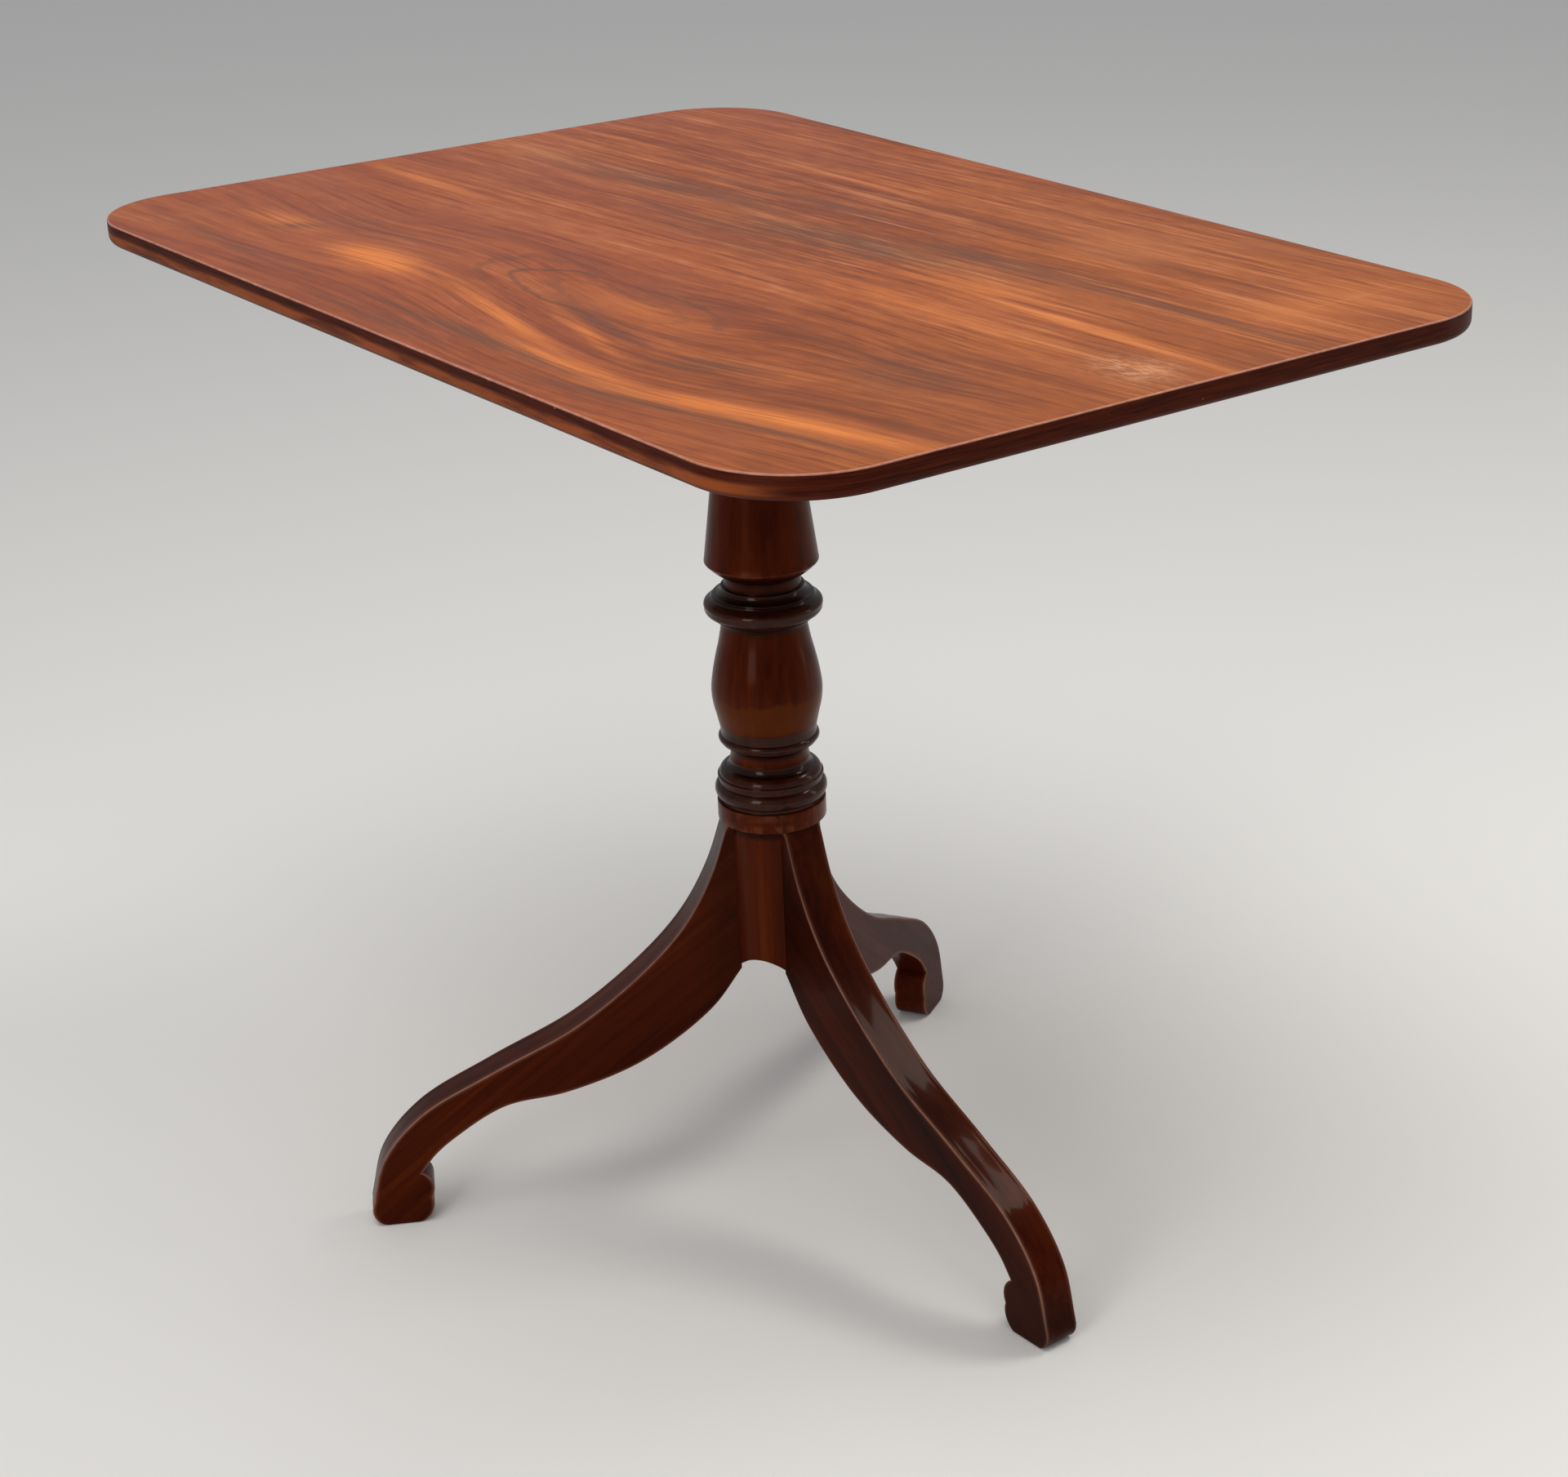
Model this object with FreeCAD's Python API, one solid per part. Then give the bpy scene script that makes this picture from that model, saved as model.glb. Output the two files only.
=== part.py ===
import FreeCAD, Part
import math
import os
from FreeCAD import Vector

# Tilt-top tripod side table in mahogany, millimetres.
# +X runs along the long side of the top, +Y along its short side, +Z up.
# The origin is on the floor, under the middle of the top and the column.

# Top board
top_length = 846.0
top_width = 573.0
top_thickness = 16.0
top_corner_radius = 72.0
top_arris = 1.0            # worn bevel on the upper edge
top_lower_bevel = 3.6      # wider bevel on the lower edge

# Clearances
rest_gap = 0.3             # under the board, over the block's face and nose
glue_gap = 0.1             # glued and wedged joints
side_gap = 0.8             # between each bearer and the block
pin_clearance = 0.05       # around the pivot pins, on the radius
screw_clearance = 0.1      # around screws, on the radius
overrun = 2.0              # how far a cutting shape runs past a face
match_slack = 0.01         # how near an edge lies to the place it is picked by

# Pillar, from the floor up: each turned member has a height and a radius
pillar_floor_gap = 190.0
leg_block_height = 112.5
leg_block_radius = 34.0
collar_height = 14.0
collar_radius = 38.9
torus_height = 16.5
torus_radius = 40.2
torus_edge = 2.4           # bevel along both its edges
shoulder_height = 13.6
cove_edge_radius = 28.8
cove_height = 17.4
ring_bead_height = 7.4
ring_bead_radius = 36.0
ring_bead_edge = 1.2
vase_height = 77.6
vase_belly_radius = 39.3
vase_neck_radius = 30.2
disc_cavetto_height = 5.8
disc_fillet_height = 2.1
disc_fillet_radius = 35.8
disc_round_height = 10.4
disc_radius = 41.4
disc_edge = 2.6
disc_slope_height = 3.6
disc_slope_radius = 35.2
disc_hollow_height = 5.6
disc_hollow_radius = 29.4
neck_height = 8.6
neck_radius = 27.1
shaft_base_height = 8.8
shaft_base_radius = 38.6
shaft_bevel_height = 2.6
shaft_radius = 39.9
shaft_height = 115.0
shaft_head_radius = 25.0
ring_height = 6.0
ring_radius = 29.0
cap_neck_height = 8.0
cap_flare_height = 29.0
cap_radius = 38.0
cap_fillet_height = 11.2

# Top tenon of the pillar and its two wedges
tenon_radius = 20.0
wedge_thickness = 3.2
wedge_depth = 20.0
wedge_spacing = 18.0
wedge_toe = 0.8            # thickness left at the wedge's thin end

# Block on the pillar: it carries the pivots and the keeper
block_length = 140.0       # along X, between the bearers
block_thickness = 28.0
block_front = 75.0         # from the pillar's axis to the catch side
pivot_offset = 62.0        # from the pillar's axis to the pivot axis
pivot_radius = 6.0
pivot_in_block = 34.0
pivot_in_bearer = 23.0

# Bearers under the top, across its grain
bearer_length = 430.0
bearer_width = 25.0
bearer_depth = 34.0
bearer_tip_depth = 15.0
bearer_flat = 230.0        # length of its full depth, about the middle
bearer_tip_round = 6.0

# Screws that hold the bearers to the top
bearer_screw_shares = (-0.44, 0.0, 0.44)
screw_head_radius = 4.6
screw_head_height = 2.8
screw_shank_radius = 2.3
screw_length = 22.0
screw_pocket_radius = 6.0
screw_bite = 10.0          # how deep the blunt end goes into the board
screw_sides = 12           # flats that stand for the round of a screw and its hole

# Catch under the board, on the side away from the pivots
plate_thickness = 1.5      # the catch's plate and the keeper
catch_gap = 2.0            # from the keeper's face to the case
catch_plate_length = 60.0
catch_plate_width = 34.0
catch_plate_corner = 4.0
case_length = 42.0
case_width = 21.0
case_depth = 11.0
case_wall = 1.6
case_corner = 2.5
bolt_travel = 8.0
bolt_width = 10.0
bolt_height = 6.0
bolt_length = 30.0
bolt_bevel = 4.0
bolt_clearance = 0.3
knob_stem_radius = 1.8
knob_neck_length = 4.0
knob_radius = 6.0
knob_height = 6.0
knob_from_nose = 17.0      # from the bolt's nose to the knob's axis
spring_thickness = 0.6
spring_height = 5.0
spring_span = 15.0
small_screw_head_radius = 2.8
small_screw_shank_radius = 1.4
small_screw_length = 9.0
catch_screw_inset = 5.0    # from the plate's edges to each screw's axis

# Keeper on the block's face
keeper_width = 40.0
keeper_height = 18.0
keeper_corner = 2.0
keeper_screw_inset = 5.5
keeper_slot_clearance = 0.5
keeper_pocket_depth = 9.0

# Legs
leg_count = 3
leg_turn = 1.5             # degrees: how far the legs sit round from square
leg_root_width = 32.0
leg_foot_width = 27.0
leg_reach = 311.0          # from the pillar's axis to the toe
leg_top_land = 4.5         # flat at the root, under the collar
leg_root_drop = 4.0        # how far the root reaches below the pillar
leg_arcs = 6               # arcs that make up each long curve of a leg
toe_height = 16.0          # where the toe reaches furthest out
toe_pad_inset = 9.5        # from the toe to the pad it stands on
foot_length = 43.0         # from the toe to the back of the scroll
scroll_height = 18.0       # where the scroll reaches furthest in
scroll_pad_inset = 10.0    # from the back of the scroll to the pad
notch_height = 36.0
notch_inset = 9.0          # from the back of the scroll to its notch
dovetail_neck = 12.0
dovetail_tip = 17.0
dovetail_depth = 11.0
dovetail_top_gap = 12.0    # from the collar down to the end of the socket

# Shape of a leg: (share of the way out, share of the way up)
leg_top_shares = (
    (0.049, 0.862), (0.121, 0.737), (0.229, 0.621), (0.4247, 0.473),
    (0.6527, 0.363), (0.8495, 0.2584), (0.957, 0.140),
)
leg_under_shares = (
    (0.947, 0.110), (0.872, 0.213), (0.720, 0.356), (0.530, 0.403),
    (0.303, 0.5325), (0.0927, 0.7857),
)
# Shape of the vase: (share of the height, share from foot to belly radius)
vase_lower_shares = ((0.12, 0.42), (0.26, 0.88))
vase_belly_share = 0.38
# Above the belly: (share of the height, share from belly to neck radius)
vase_upper_shares = ((0.52, 0.14), (0.68, 0.42), (0.84, 0.75))
vase_arcs = 3              # arcs that make up the vase's curve
# Sagitta of each round or hollow as a share of its chord
foot_share = 0.22
cove_share = 0.19


def point(radius, height):
    return Vector(radius, 0, height)


def bulging_arc(start, end, bulge):
    # An arc whose middle lies to the right of the way from start to end
    chord = end.sub(start)
    side = Vector(chord.z, 0, -chord.x)
    middle = start.add(end).multiply(1 / 2).add(side.multiply(bulge))
    return Part.Arc(start, middle, end)


def arc_edges(points, count):
    # The smooth curve through the points, laid as arcs whose ends and middles are on it
    curve = Part.BSplineCurve()
    curve.interpolate(points)
    places = curve.discretize(count * 2 + 1)
    return [Part.Arc(*places[i * 2:i * 2 + 3]).toShape() for i in range(count)]


def flat_face(points):
    return Part.Face(Part.makePolygon(points + [points[0]]))


class Turning:
    # The outline of a turned piece, drawn upwards member by member

    def __init__(self, radius, height):
        self.at = point(radius, height)
        self.foot = height
        self.edges = []
        self.add_line(point(0, height), self.at)

    def add_line(self, start, end):
        self.edges.append(Part.LineSegment(start, end).toShape())
        self.at = end

    def step(self, radius):
        if radius != self.at.x:
            self.add_line(self.at, point(radius, self.at.z))

    def band(self, height):
        self.add_line(self.at, point(self.at.x, self.at.z + height))

    def slope(self, radius, height):
        self.add_line(self.at, point(radius, self.at.z + height))

    def hollow(self, radius, height, bulge):
        end = point(radius, self.at.z + height)
        self.edges.append(bulging_arc(self.at, end, -bulge).toBSpline().toShape())
        self.at = end

    def blunt(self, radius, height, edge):
        # A band with a bevel along both edges
        self.step(radius - edge)
        self.slope(radius, edge)
        self.band(height - edge * 2)
        self.slope(radius - edge, edge)

    def sweep(self, points):
        self.edges += arc_edges([self.at] + points, vase_arcs)
        self.at = points[-1]

    def solid(self):
        self.add_line(self.at, point(0, self.at.z))
        self.add_line(self.at, point(0, self.foot))
        face = Part.Face(Part.Wire(self.edges))
        return face.revolve(Vector(0, 0, 0), Vector(0, 0, 1), 360)


def box(low, high):
    size = Vector(high[0] - low[0], high[1] - low[1], high[2] - low[2])
    return Part.makeBox(size.x, size.y, size.z, Vector(*low))


def cylinder(radius, height, base, way):
    return Part.makeCylinder(radius, height, base, way)


def rounded_plate(length, width, thickness, radius):
    # A plate about the Z axis, from height 0 up, with rounded corners
    plate = box((-length / 2, -width / 2, 0), (length / 2, width / 2, thickness))
    upright = [e for e in plate.Edges if abs(e.Vertexes[0].X - e.Vertexes[1].X) < radius / 2
               and abs(e.Vertexes[0].Y - e.Vertexes[1].Y) < radius / 2]
    return plate.makeFillet(radius, upright)


def edges_at(shape, height):
    # The edges that lie flat at one height
    return [e for e in shape.Edges if abs(e.BoundBox.ZMin - height) < match_slack
            and abs(e.BoundBox.ZMax - height) < match_slack]


def corners_at(radius, height):
    angles = [math.radians(i * 360 / screw_sides) for i in range(screw_sides)]
    return [Vector(radius * math.cos(a), radius * math.sin(a), height) for a in angles]


def flat_sided(profile):
    # A small round body about the Z axis, in flats; the profile runs upwards
    rings = [corners_at(radius, height) for radius, height in profile]
    faces = [flat_face(rings[0]), flat_face(rings[-1])]
    for low, high in zip(rings, rings[1:]):
        faces += [flat_face([low[i - 1], low[i], high[i], high[i - 1]])
                  for i in range(screw_sides)]
    return Part.makeSolid(Part.makeShell(faces))


def wood_screw(head_radius, head_height, shank_radius, length, gap=0):
    # Countersunk and blunt, its flat face down at height 0; the gap grows it into its hole
    return flat_sided([(head_radius + gap, 0), (shank_radius + gap, head_height),
                       (shank_radius + gap, length + gap)])


# Heights that the other pieces share
collar_bottom = pillar_floor_gap + leg_block_height
leg_flat = math.sqrt(leg_block_radius ** 2 - (leg_root_width / 2) ** 2)


def vase_points(foot_radius, foot):
    rise = vase_belly_radius - foot_radius
    fall = vase_belly_radius - vase_neck_radius
    points = [point(foot_radius + b * rise, foot + a * vase_height)
              for a, b in vase_lower_shares]
    points.append(point(vase_belly_radius, foot + vase_belly_share * vase_height))
    points += [point(vase_belly_radius - b * fall, foot + a * vase_height)
               for a, b in vase_upper_shares]
    return points + [point(vase_neck_radius, foot + vase_height)]


def pillar_turning():
    t = Turning(leg_block_radius, pillar_floor_gap)
    t.band(leg_block_height)
    t.step(collar_radius)
    t.band(collar_height)
    t.blunt(torus_radius, torus_height, torus_edge)
    t.slope(cove_edge_radius, shoulder_height)
    ring_edge_radius = ring_bead_radius - ring_bead_edge
    t.hollow(ring_edge_radius, cove_height, cove_share)
    t.blunt(ring_bead_radius, ring_bead_height, ring_bead_edge)
    t.sweep(vase_points(ring_edge_radius, t.at.z))
    t.slope(disc_fillet_radius, disc_cavetto_height)
    t.band(disc_fillet_height)
    t.blunt(disc_radius, disc_round_height, disc_edge)
    t.slope(disc_slope_radius, disc_slope_height)
    t.slope(disc_hollow_radius, disc_hollow_height)
    t.step(neck_radius)
    t.band(neck_height)
    t.slope(shaft_base_radius, shaft_base_height)
    t.slope(shaft_radius, shaft_bevel_height)
    t.slope(shaft_head_radius, shaft_height)
    t.step(ring_radius)
    t.band(ring_height)
    t.step(shaft_head_radius)
    t.band(cap_neck_height)
    t.slope(cap_radius, cap_flare_height)
    t.band(cap_fillet_height)
    block_bottom = t.at.z
    t.step(tenon_radius)
    t.band(block_thickness)
    return t.solid(), block_bottom


long_sizes = (screw_head_radius, screw_head_height, screw_shank_radius, screw_length)
small_sizes = (small_screw_head_radius, plate_thickness, small_screw_shank_radius,
               small_screw_length)
long_screw = wood_screw(*long_sizes)
long_hole = wood_screw(*long_sizes, screw_clearance)
small_screw = wood_screw(*small_sizes)
small_hole = wood_screw(*small_sizes, screw_clearance)
pillar_body, block_bottom = pillar_turning()
block_top = block_bottom + block_thickness
pivot_height = block_bottom + block_thickness / 2
board_bottom = block_top + rest_gap
board_top = board_bottom + top_thickness
block_nose = block_thickness / 2
bearer_middle = block_length / 2 + side_gap + bearer_width / 2
keeper_face = -(block_front + plate_thickness)
case_face = keeper_face - catch_gap
bolt_middle = board_bottom - plate_thickness - case_depth / 2
plate_middle = case_face - catch_plate_length / 2
knob_rest = case_face - knob_from_nose


def dovetail(gap, low, high):
    # Plan of the sliding dovetail, for the leg that points along +X
    neck = dovetail_neck / 2 + gap
    tip = dovetail_tip / 2 + gap
    inner = leg_flat - dovetail_depth - gap
    outer = leg_flat + glue_gap + overrun
    slope = (tip - neck) / (leg_flat - inner)
    outer_half = neck - slope * (outer - leg_flat)
    corners = [(inner, -tip), (outer, -outer_half), (outer, outer_half), (inner, tip)]
    points = [Vector(x, y, low) for x, y in corners]
    return flat_face(points).extrude(Vector(0, 0, high - low))


def around(shape, index):
    turned = shape.copy()
    angle = leg_turn + index * 360 / leg_count
    turned.rotate(Vector(0, 0, 0), Vector(0, 0, 1), angle)
    return turned


def wedge_solid(offset, gap):
    # A wedge driven from above, thick at the top and across the tenon
    thick = wedge_thickness / 2 + gap
    thin = wedge_toe / 2 + gap
    low = block_top - wedge_depth - gap
    half = math.sqrt(tenon_radius ** 2 - wedge_spacing ** 2 / 4) - wedge_thickness + gap
    corners = [(offset - thin, low), (offset + thin, low),
               (offset + thick, block_top), (offset - thick, block_top)]
    points = [Vector(x, -half, z) for x, z in corners]
    return flat_face(points).extrude(Vector(0, half * 2, 0))


def make_pillar():
    body = pillar_body
    socket_top = collar_bottom - dovetail_top_gap + glue_gap
    flat = box((leg_flat, -leg_root_width, pillar_floor_gap - overrun),
               (leg_flat + leg_root_width, leg_root_width, collar_bottom))
    socket = dovetail(glue_gap, pillar_floor_gap - overrun, socket_top)
    for index in range(leg_count):
        body = body.cut(around(flat, index)).cut(around(socket, index))
    for side in (-1, 1):
        body = body.cut(wedge_solid(side * wedge_spacing / 2, glue_gap / 2))
    return body


def leg_outline():
    root = leg_flat + glue_gap
    top = collar_bottom - glue_gap
    land = root + leg_top_land
    scroll = leg_reach - foot_length
    notch = point(scroll + notch_inset, notch_height)
    toe = point(leg_reach, toe_height)
    toe_pad = point(leg_reach - toe_pad_inset, 0)
    back_pad = point(scroll + scroll_pad_inset, 0)
    back = point(scroll, scroll_height)
    under_root = point(root, pillar_floor_gap - leg_root_drop)
    upper = [point(land + a * (leg_reach - land), toe_height + b * (top - toe_height))
             for a, b in leg_top_shares]
    lower = [point(root + a * (notch.x - root),
                   notch_height + b * (pillar_floor_gap - notch_height))
             for a, b in leg_under_shares]
    edges = [Part.LineSegment(under_root, point(root, top)).toShape(),
             Part.LineSegment(point(root, top), point(land, top)).toShape(),
             *arc_edges([point(land, top)] + upper + [toe], leg_arcs),
             bulging_arc(toe, toe_pad, -foot_share).toShape(),
             Part.LineSegment(toe_pad, back_pad).toShape(),
             bulging_arc(back_pad, back, -foot_share).toShape(),
             bulging_arc(back, notch, -foot_share).toShape(),
             *arc_edges([notch] + lower + [under_root], leg_arcs)]
    return Part.Face(Part.Wire(edges))


def make_leg():
    outline = leg_outline()
    outline.translate(Vector(0, -leg_root_width / 2, 0))
    slab = outline.extrude(Vector(0, leg_root_width, 0))
    root = leg_root_width / 2
    foot = leg_foot_width / 2
    end = leg_reach + overrun
    plan = [Vector(0, -root, -overrun), Vector(end, -foot, -overrun),
            Vector(end, foot, -overrun), Vector(0, root, -overrun)]
    taper = flat_face(plan).extrude(Vector(0, 0, collar_bottom + overrun))
    body = slab.common(taper)
    tongue = dovetail(0, pillar_floor_gap, collar_bottom - dovetail_top_gap)
    return body.fuse(tongue).removeSplitter()


def make_wedges():
    bore = cylinder(tenon_radius, block_thickness, Vector(0, 0, block_bottom), Vector(0, 0, 1))
    wedges = [wedge_solid(side * wedge_spacing / 2, 0).common(bore) for side in (-1, 1)]
    return Part.makeCompound(wedges)


def make_block():
    half = block_length / 2
    body = box((-half, -block_front, block_bottom), (half, pivot_offset, block_top))
    nose = cylinder(block_nose, block_length, Vector(-half, pivot_offset, pivot_height),
                    Vector(1, 0, 0))
    body = body.fuse(nose).removeSplitter()
    bore = cylinder(tenon_radius + glue_gap, block_thickness + overrun * 2,
                    Vector(0, 0, block_bottom - overrun), Vector(0, 0, 1))
    body = body.cut(bore)
    for side in (-1, 1):
        start = Vector(side * (half - pivot_in_block - glue_gap), pivot_offset, pivot_height)
        body = body.cut(cylinder(pivot_radius + pin_clearance, pivot_in_block + overrun, start,
                                 Vector(side, 0, 0)))
    pocket_x = bolt_width / 2 + keeper_slot_clearance
    pocket_z = bolt_height / 2 + keeper_slot_clearance
    pocket = box((-pocket_x, -block_front - overrun, bolt_middle - pocket_z),
                 (pocket_x, -block_front + keeper_pocket_depth, bolt_middle + pocket_z))
    body = body.cut(pocket)
    for hole in keeper_screws(small_hole):
        body = body.cut(hole)
    return body


def make_pivot_pin(side):
    length = pivot_in_block + side_gap + pivot_in_bearer
    start = Vector(side * (block_length / 2 - pivot_in_block), pivot_offset, pivot_height)
    return cylinder(pivot_radius, length, start, Vector(side, 0, 0))


screw_seat = board_bottom + screw_bite - screw_length


def bearer_screw_places(side):
    return [Vector(side * bearer_middle, share * bearer_length, screw_seat)
            for share in bearer_screw_shares]


def moved(shape, place):
    copy = shape.copy()
    copy.translate(place)
    return copy


def make_bearer(side):
    half = bearer_length / 2
    flat = bearer_flat / 2
    bottom = board_bottom - bearer_depth
    tip = board_bottom - bearer_tip_depth
    corners = [(-half, board_bottom), (-half, tip), (-flat, bottom), (flat, bottom),
               (half, tip), (half, board_bottom)]
    low_x = side * bearer_middle - bearer_width / 2
    points = [Vector(low_x, y, z) for y, z in corners]
    body = flat_face(points).extrude(Vector(bearer_width, 0, 0))
    tip_edges = [e for e in edges_at(body, tip) if e.BoundBox.XLength > bearer_width / 2]
    body = body.makeFillet(bearer_tip_round, tip_edges)
    start = Vector(side * (block_length / 2), pivot_offset, pivot_height)
    depth = side_gap + pivot_in_bearer + glue_gap
    body = body.cut(cylinder(pivot_radius + pin_clearance, depth, start, Vector(side, 0, 0)))
    pocket = flat_sided([(screw_pocket_radius, -bearer_depth), (screw_pocket_radius, 0)])
    for place in bearer_screw_places(side):
        body = body.cut(moved(long_hole, place)).cut(moved(pocket, place))
    return body


def make_bearer_screws():
    places = bearer_screw_places(-1) + bearer_screw_places(1)
    return Part.makeCompound([moved(long_screw, place) for place in places])


def catch_screw_places():
    # The plate's four corners, each head sunk flush into the plate
    height = board_bottom - plate_thickness
    half_x = catch_plate_width / 2 - catch_screw_inset
    half_y = catch_plate_length / 2 - catch_screw_inset
    return [Vector(x * half_x, plate_middle + y * half_y, height)
            for x in (-1, 1) for y in (-1, 1)]


def make_top():
    board = rounded_plate(top_length, top_width, top_thickness, top_corner_radius)
    board = board.makeChamfer(top_arris, edges_at(board, top_thickness))
    board = board.makeChamfer(top_lower_bevel, edges_at(board, 0))
    board.translate(Vector(0, 0, board_bottom))
    for place in bearer_screw_places(-1) + bearer_screw_places(1):
        board = board.cut(moved(long_hole, place))
    for place in catch_screw_places():
        board = board.cut(moved(small_hole, place))
    return board


def make_catch_plate():
    plate = rounded_plate(catch_plate_width, catch_plate_length, plate_thickness,
                          catch_plate_corner)
    plate.translate(Vector(0, plate_middle, board_bottom - plate_thickness))
    for place in catch_screw_places():
        plate = plate.cut(moved(small_hole, place))
    return plate


def make_catch_case():
    top = board_bottom - plate_thickness
    case = rounded_plate(case_width, case_length, case_depth, case_corner)
    case.translate(Vector(0, case_face - case_length / 2, top - case_depth))
    half = case_width / 2 - case_wall
    back = case_face - case_length + case_wall
    room = box((-half, back, top - case_depth + case_wall),
               (half, case_face - case_wall, top + overrun))
    case = case.cut(room)
    mouth_x = bolt_width / 2 + bolt_clearance
    mouth_z = bolt_height / 2 + bolt_clearance
    mouth = box((-mouth_x, case_face - case_wall - overrun, bolt_middle - mouth_z),
                (mouth_x, case_face + overrun, bolt_middle + mouth_z))
    case = case.cut(mouth)
    slot_x = knob_stem_radius + bolt_clearance
    low = top - case_depth - overrun
    slot = box((-slot_x, knob_rest, low), (slot_x, knob_rest + bolt_travel, bolt_middle))
    case = case.cut(slot)
    for end in (knob_rest, knob_rest + bolt_travel):
        round_end = cylinder(slot_x, bolt_middle - low, Vector(0, end, low), Vector(0, 0, 1))
        case = case.cut(round_end)
    return case


def make_catch_bolt():
    # Drawn back, its nose is flush with the mouth of the case
    half_x = bolt_width / 2
    half_z = bolt_height / 2
    tail = case_face - bolt_length
    corners = [(tail, -half_z), (case_face - bolt_bevel, -half_z), (case_face, 0),
               (case_face, half_z), (tail, half_z)]
    points = [Vector(-half_x, y, bolt_middle + z) for y, z in corners]
    body = flat_face(points).extrude(Vector(bolt_width, 0, 0))
    hole = cylinder(knob_stem_radius + glue_gap, half_z + overrun,
                    Vector(0, knob_rest, bolt_middle - half_z - overrun), Vector(0, 0, 1))
    return body.cut(hole)


def make_catch_knob():
    top = bolt_middle
    case_bottom = board_bottom - plate_thickness - case_depth
    knob_top = case_bottom - knob_neck_length / 2
    low = knob_top - knob_height
    t = Turning(knob_radius, low)
    t.band(knob_height)
    t.step(knob_stem_radius)
    t.band(top - glue_gap - t.at.z)
    return moved(t.solid(), Vector(0, knob_rest, 0))


def make_catch_spring():
    # A bow of spring steel: its ends bear on the case, its middle on the bolt
    back = case_face - case_length + case_wall + rest_gap
    front = case_face - bolt_length - rest_gap
    half = spring_span / 2
    low = bolt_middle - spring_height / 2
    rise = front - back
    outer = Part.Arc(Vector(-half, back, low), Vector(0, front, low), Vector(half, back, low))
    inner_rise = rise - spring_thickness
    inner_half = half - spring_thickness
    inner = Part.Arc(Vector(inner_half, back, low), Vector(0, back + inner_rise, low),
                     Vector(-inner_half, back, low))
    ends = [Part.LineSegment(Vector(half, back, low), Vector(inner_half, back, low)),
            Part.LineSegment(Vector(-inner_half, back, low), Vector(-half, back, low))]
    wire = Part.Wire([outer.toShape(), ends[0].toShape(), inner.toShape(), ends[1].toShape()])
    return Part.Face(wire).extrude(Vector(0, 0, spring_height))


def make_catch_screws():
    return Part.makeCompound([moved(small_screw, place) for place in catch_screw_places()])


def keeper_screws(shape):
    # The screws lie along Y: heads on the keeper's face, ends in the block
    placed = []
    for side in (-1, 1):
        copy = shape.copy()
        copy.rotate(Vector(0, 0, 0), Vector(1, 0, 0), -90)
        offset = side * (keeper_width / 2 - keeper_screw_inset)
        placed.append(moved(copy, Vector(offset, keeper_face, bolt_middle)))
    return placed


def make_keeper():
    plate = rounded_plate(keeper_width, keeper_height, plate_thickness, keeper_corner)
    plate.rotate(Vector(0, 0, 0), Vector(1, 0, 0), 90)
    plate.translate(Vector(0, -block_front, pivot_height))
    half_x = bolt_width / 2 + keeper_slot_clearance
    half_z = bolt_height / 2 + keeper_slot_clearance
    slot = box((-half_x, keeper_face - overrun, bolt_middle - half_z),
               (half_x, -block_front + overrun, bolt_middle + half_z))
    plate = plate.cut(slot)
    for hole in keeper_screws(small_hole):
        plate = plate.cut(hole)
    return plate


def make_keeper_screws():
    return Part.makeCompound(keeper_screws(small_screw))


def main():
    leg = make_leg()
    parts = {
        "top_board": make_top(),
        "bearer_left": make_bearer(-1),
        "bearer_right": make_bearer(1),
        "bearer_screws": make_bearer_screws(),
        "pillar_block": make_block(),
        "pivot_pin_left": make_pivot_pin(-1),
        "pivot_pin_right": make_pivot_pin(1),
        "pillar": make_pillar(),
        "tenon_wedges": make_wedges(),
        "leg_right": around(leg, 0),
        "leg_back": around(leg, 1),
        "leg_left": around(leg, 2),
        "catch_plate": make_catch_plate(),
        "catch_case": make_catch_case(),
        "catch_bolt": make_catch_bolt(),
        "catch_knob": make_catch_knob(),
        "catch_spring": make_catch_spring(),
        "catch_screws": make_catch_screws(),
        "keeper_plate": make_keeper(),
        "keeper_screws": make_keeper_screws(),
    }
    os.makedirs("parts", exist_ok=True)
    for name, shape in parts.items():
        shape.exportStep("parts/" + name + ".step")
        print(name, "solids", len(shape.Solids), "valid", shape.isValid(),
              "volume", round(shape.Volume))
    print("height of the top", round(board_top, 2))


main()
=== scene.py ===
import bmesh
import bpy
import math
from mathutils import Matrix, Vector, noise


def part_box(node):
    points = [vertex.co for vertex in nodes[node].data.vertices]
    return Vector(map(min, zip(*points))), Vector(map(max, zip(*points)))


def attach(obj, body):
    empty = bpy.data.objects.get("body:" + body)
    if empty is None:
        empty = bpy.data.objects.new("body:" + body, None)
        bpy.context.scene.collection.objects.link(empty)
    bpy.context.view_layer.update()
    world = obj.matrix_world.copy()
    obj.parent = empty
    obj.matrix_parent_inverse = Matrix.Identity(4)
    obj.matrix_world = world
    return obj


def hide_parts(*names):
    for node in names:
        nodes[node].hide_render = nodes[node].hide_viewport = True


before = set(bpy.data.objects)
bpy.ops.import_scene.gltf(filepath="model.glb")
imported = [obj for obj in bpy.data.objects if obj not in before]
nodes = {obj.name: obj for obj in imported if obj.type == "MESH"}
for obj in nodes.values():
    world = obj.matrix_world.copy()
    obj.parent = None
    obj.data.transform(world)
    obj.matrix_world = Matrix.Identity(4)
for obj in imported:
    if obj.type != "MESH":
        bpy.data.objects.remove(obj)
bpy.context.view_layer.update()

mm = 0.001  # millimetres to metres
print("frame loaded:", len(nodes), "nodes")


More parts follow.
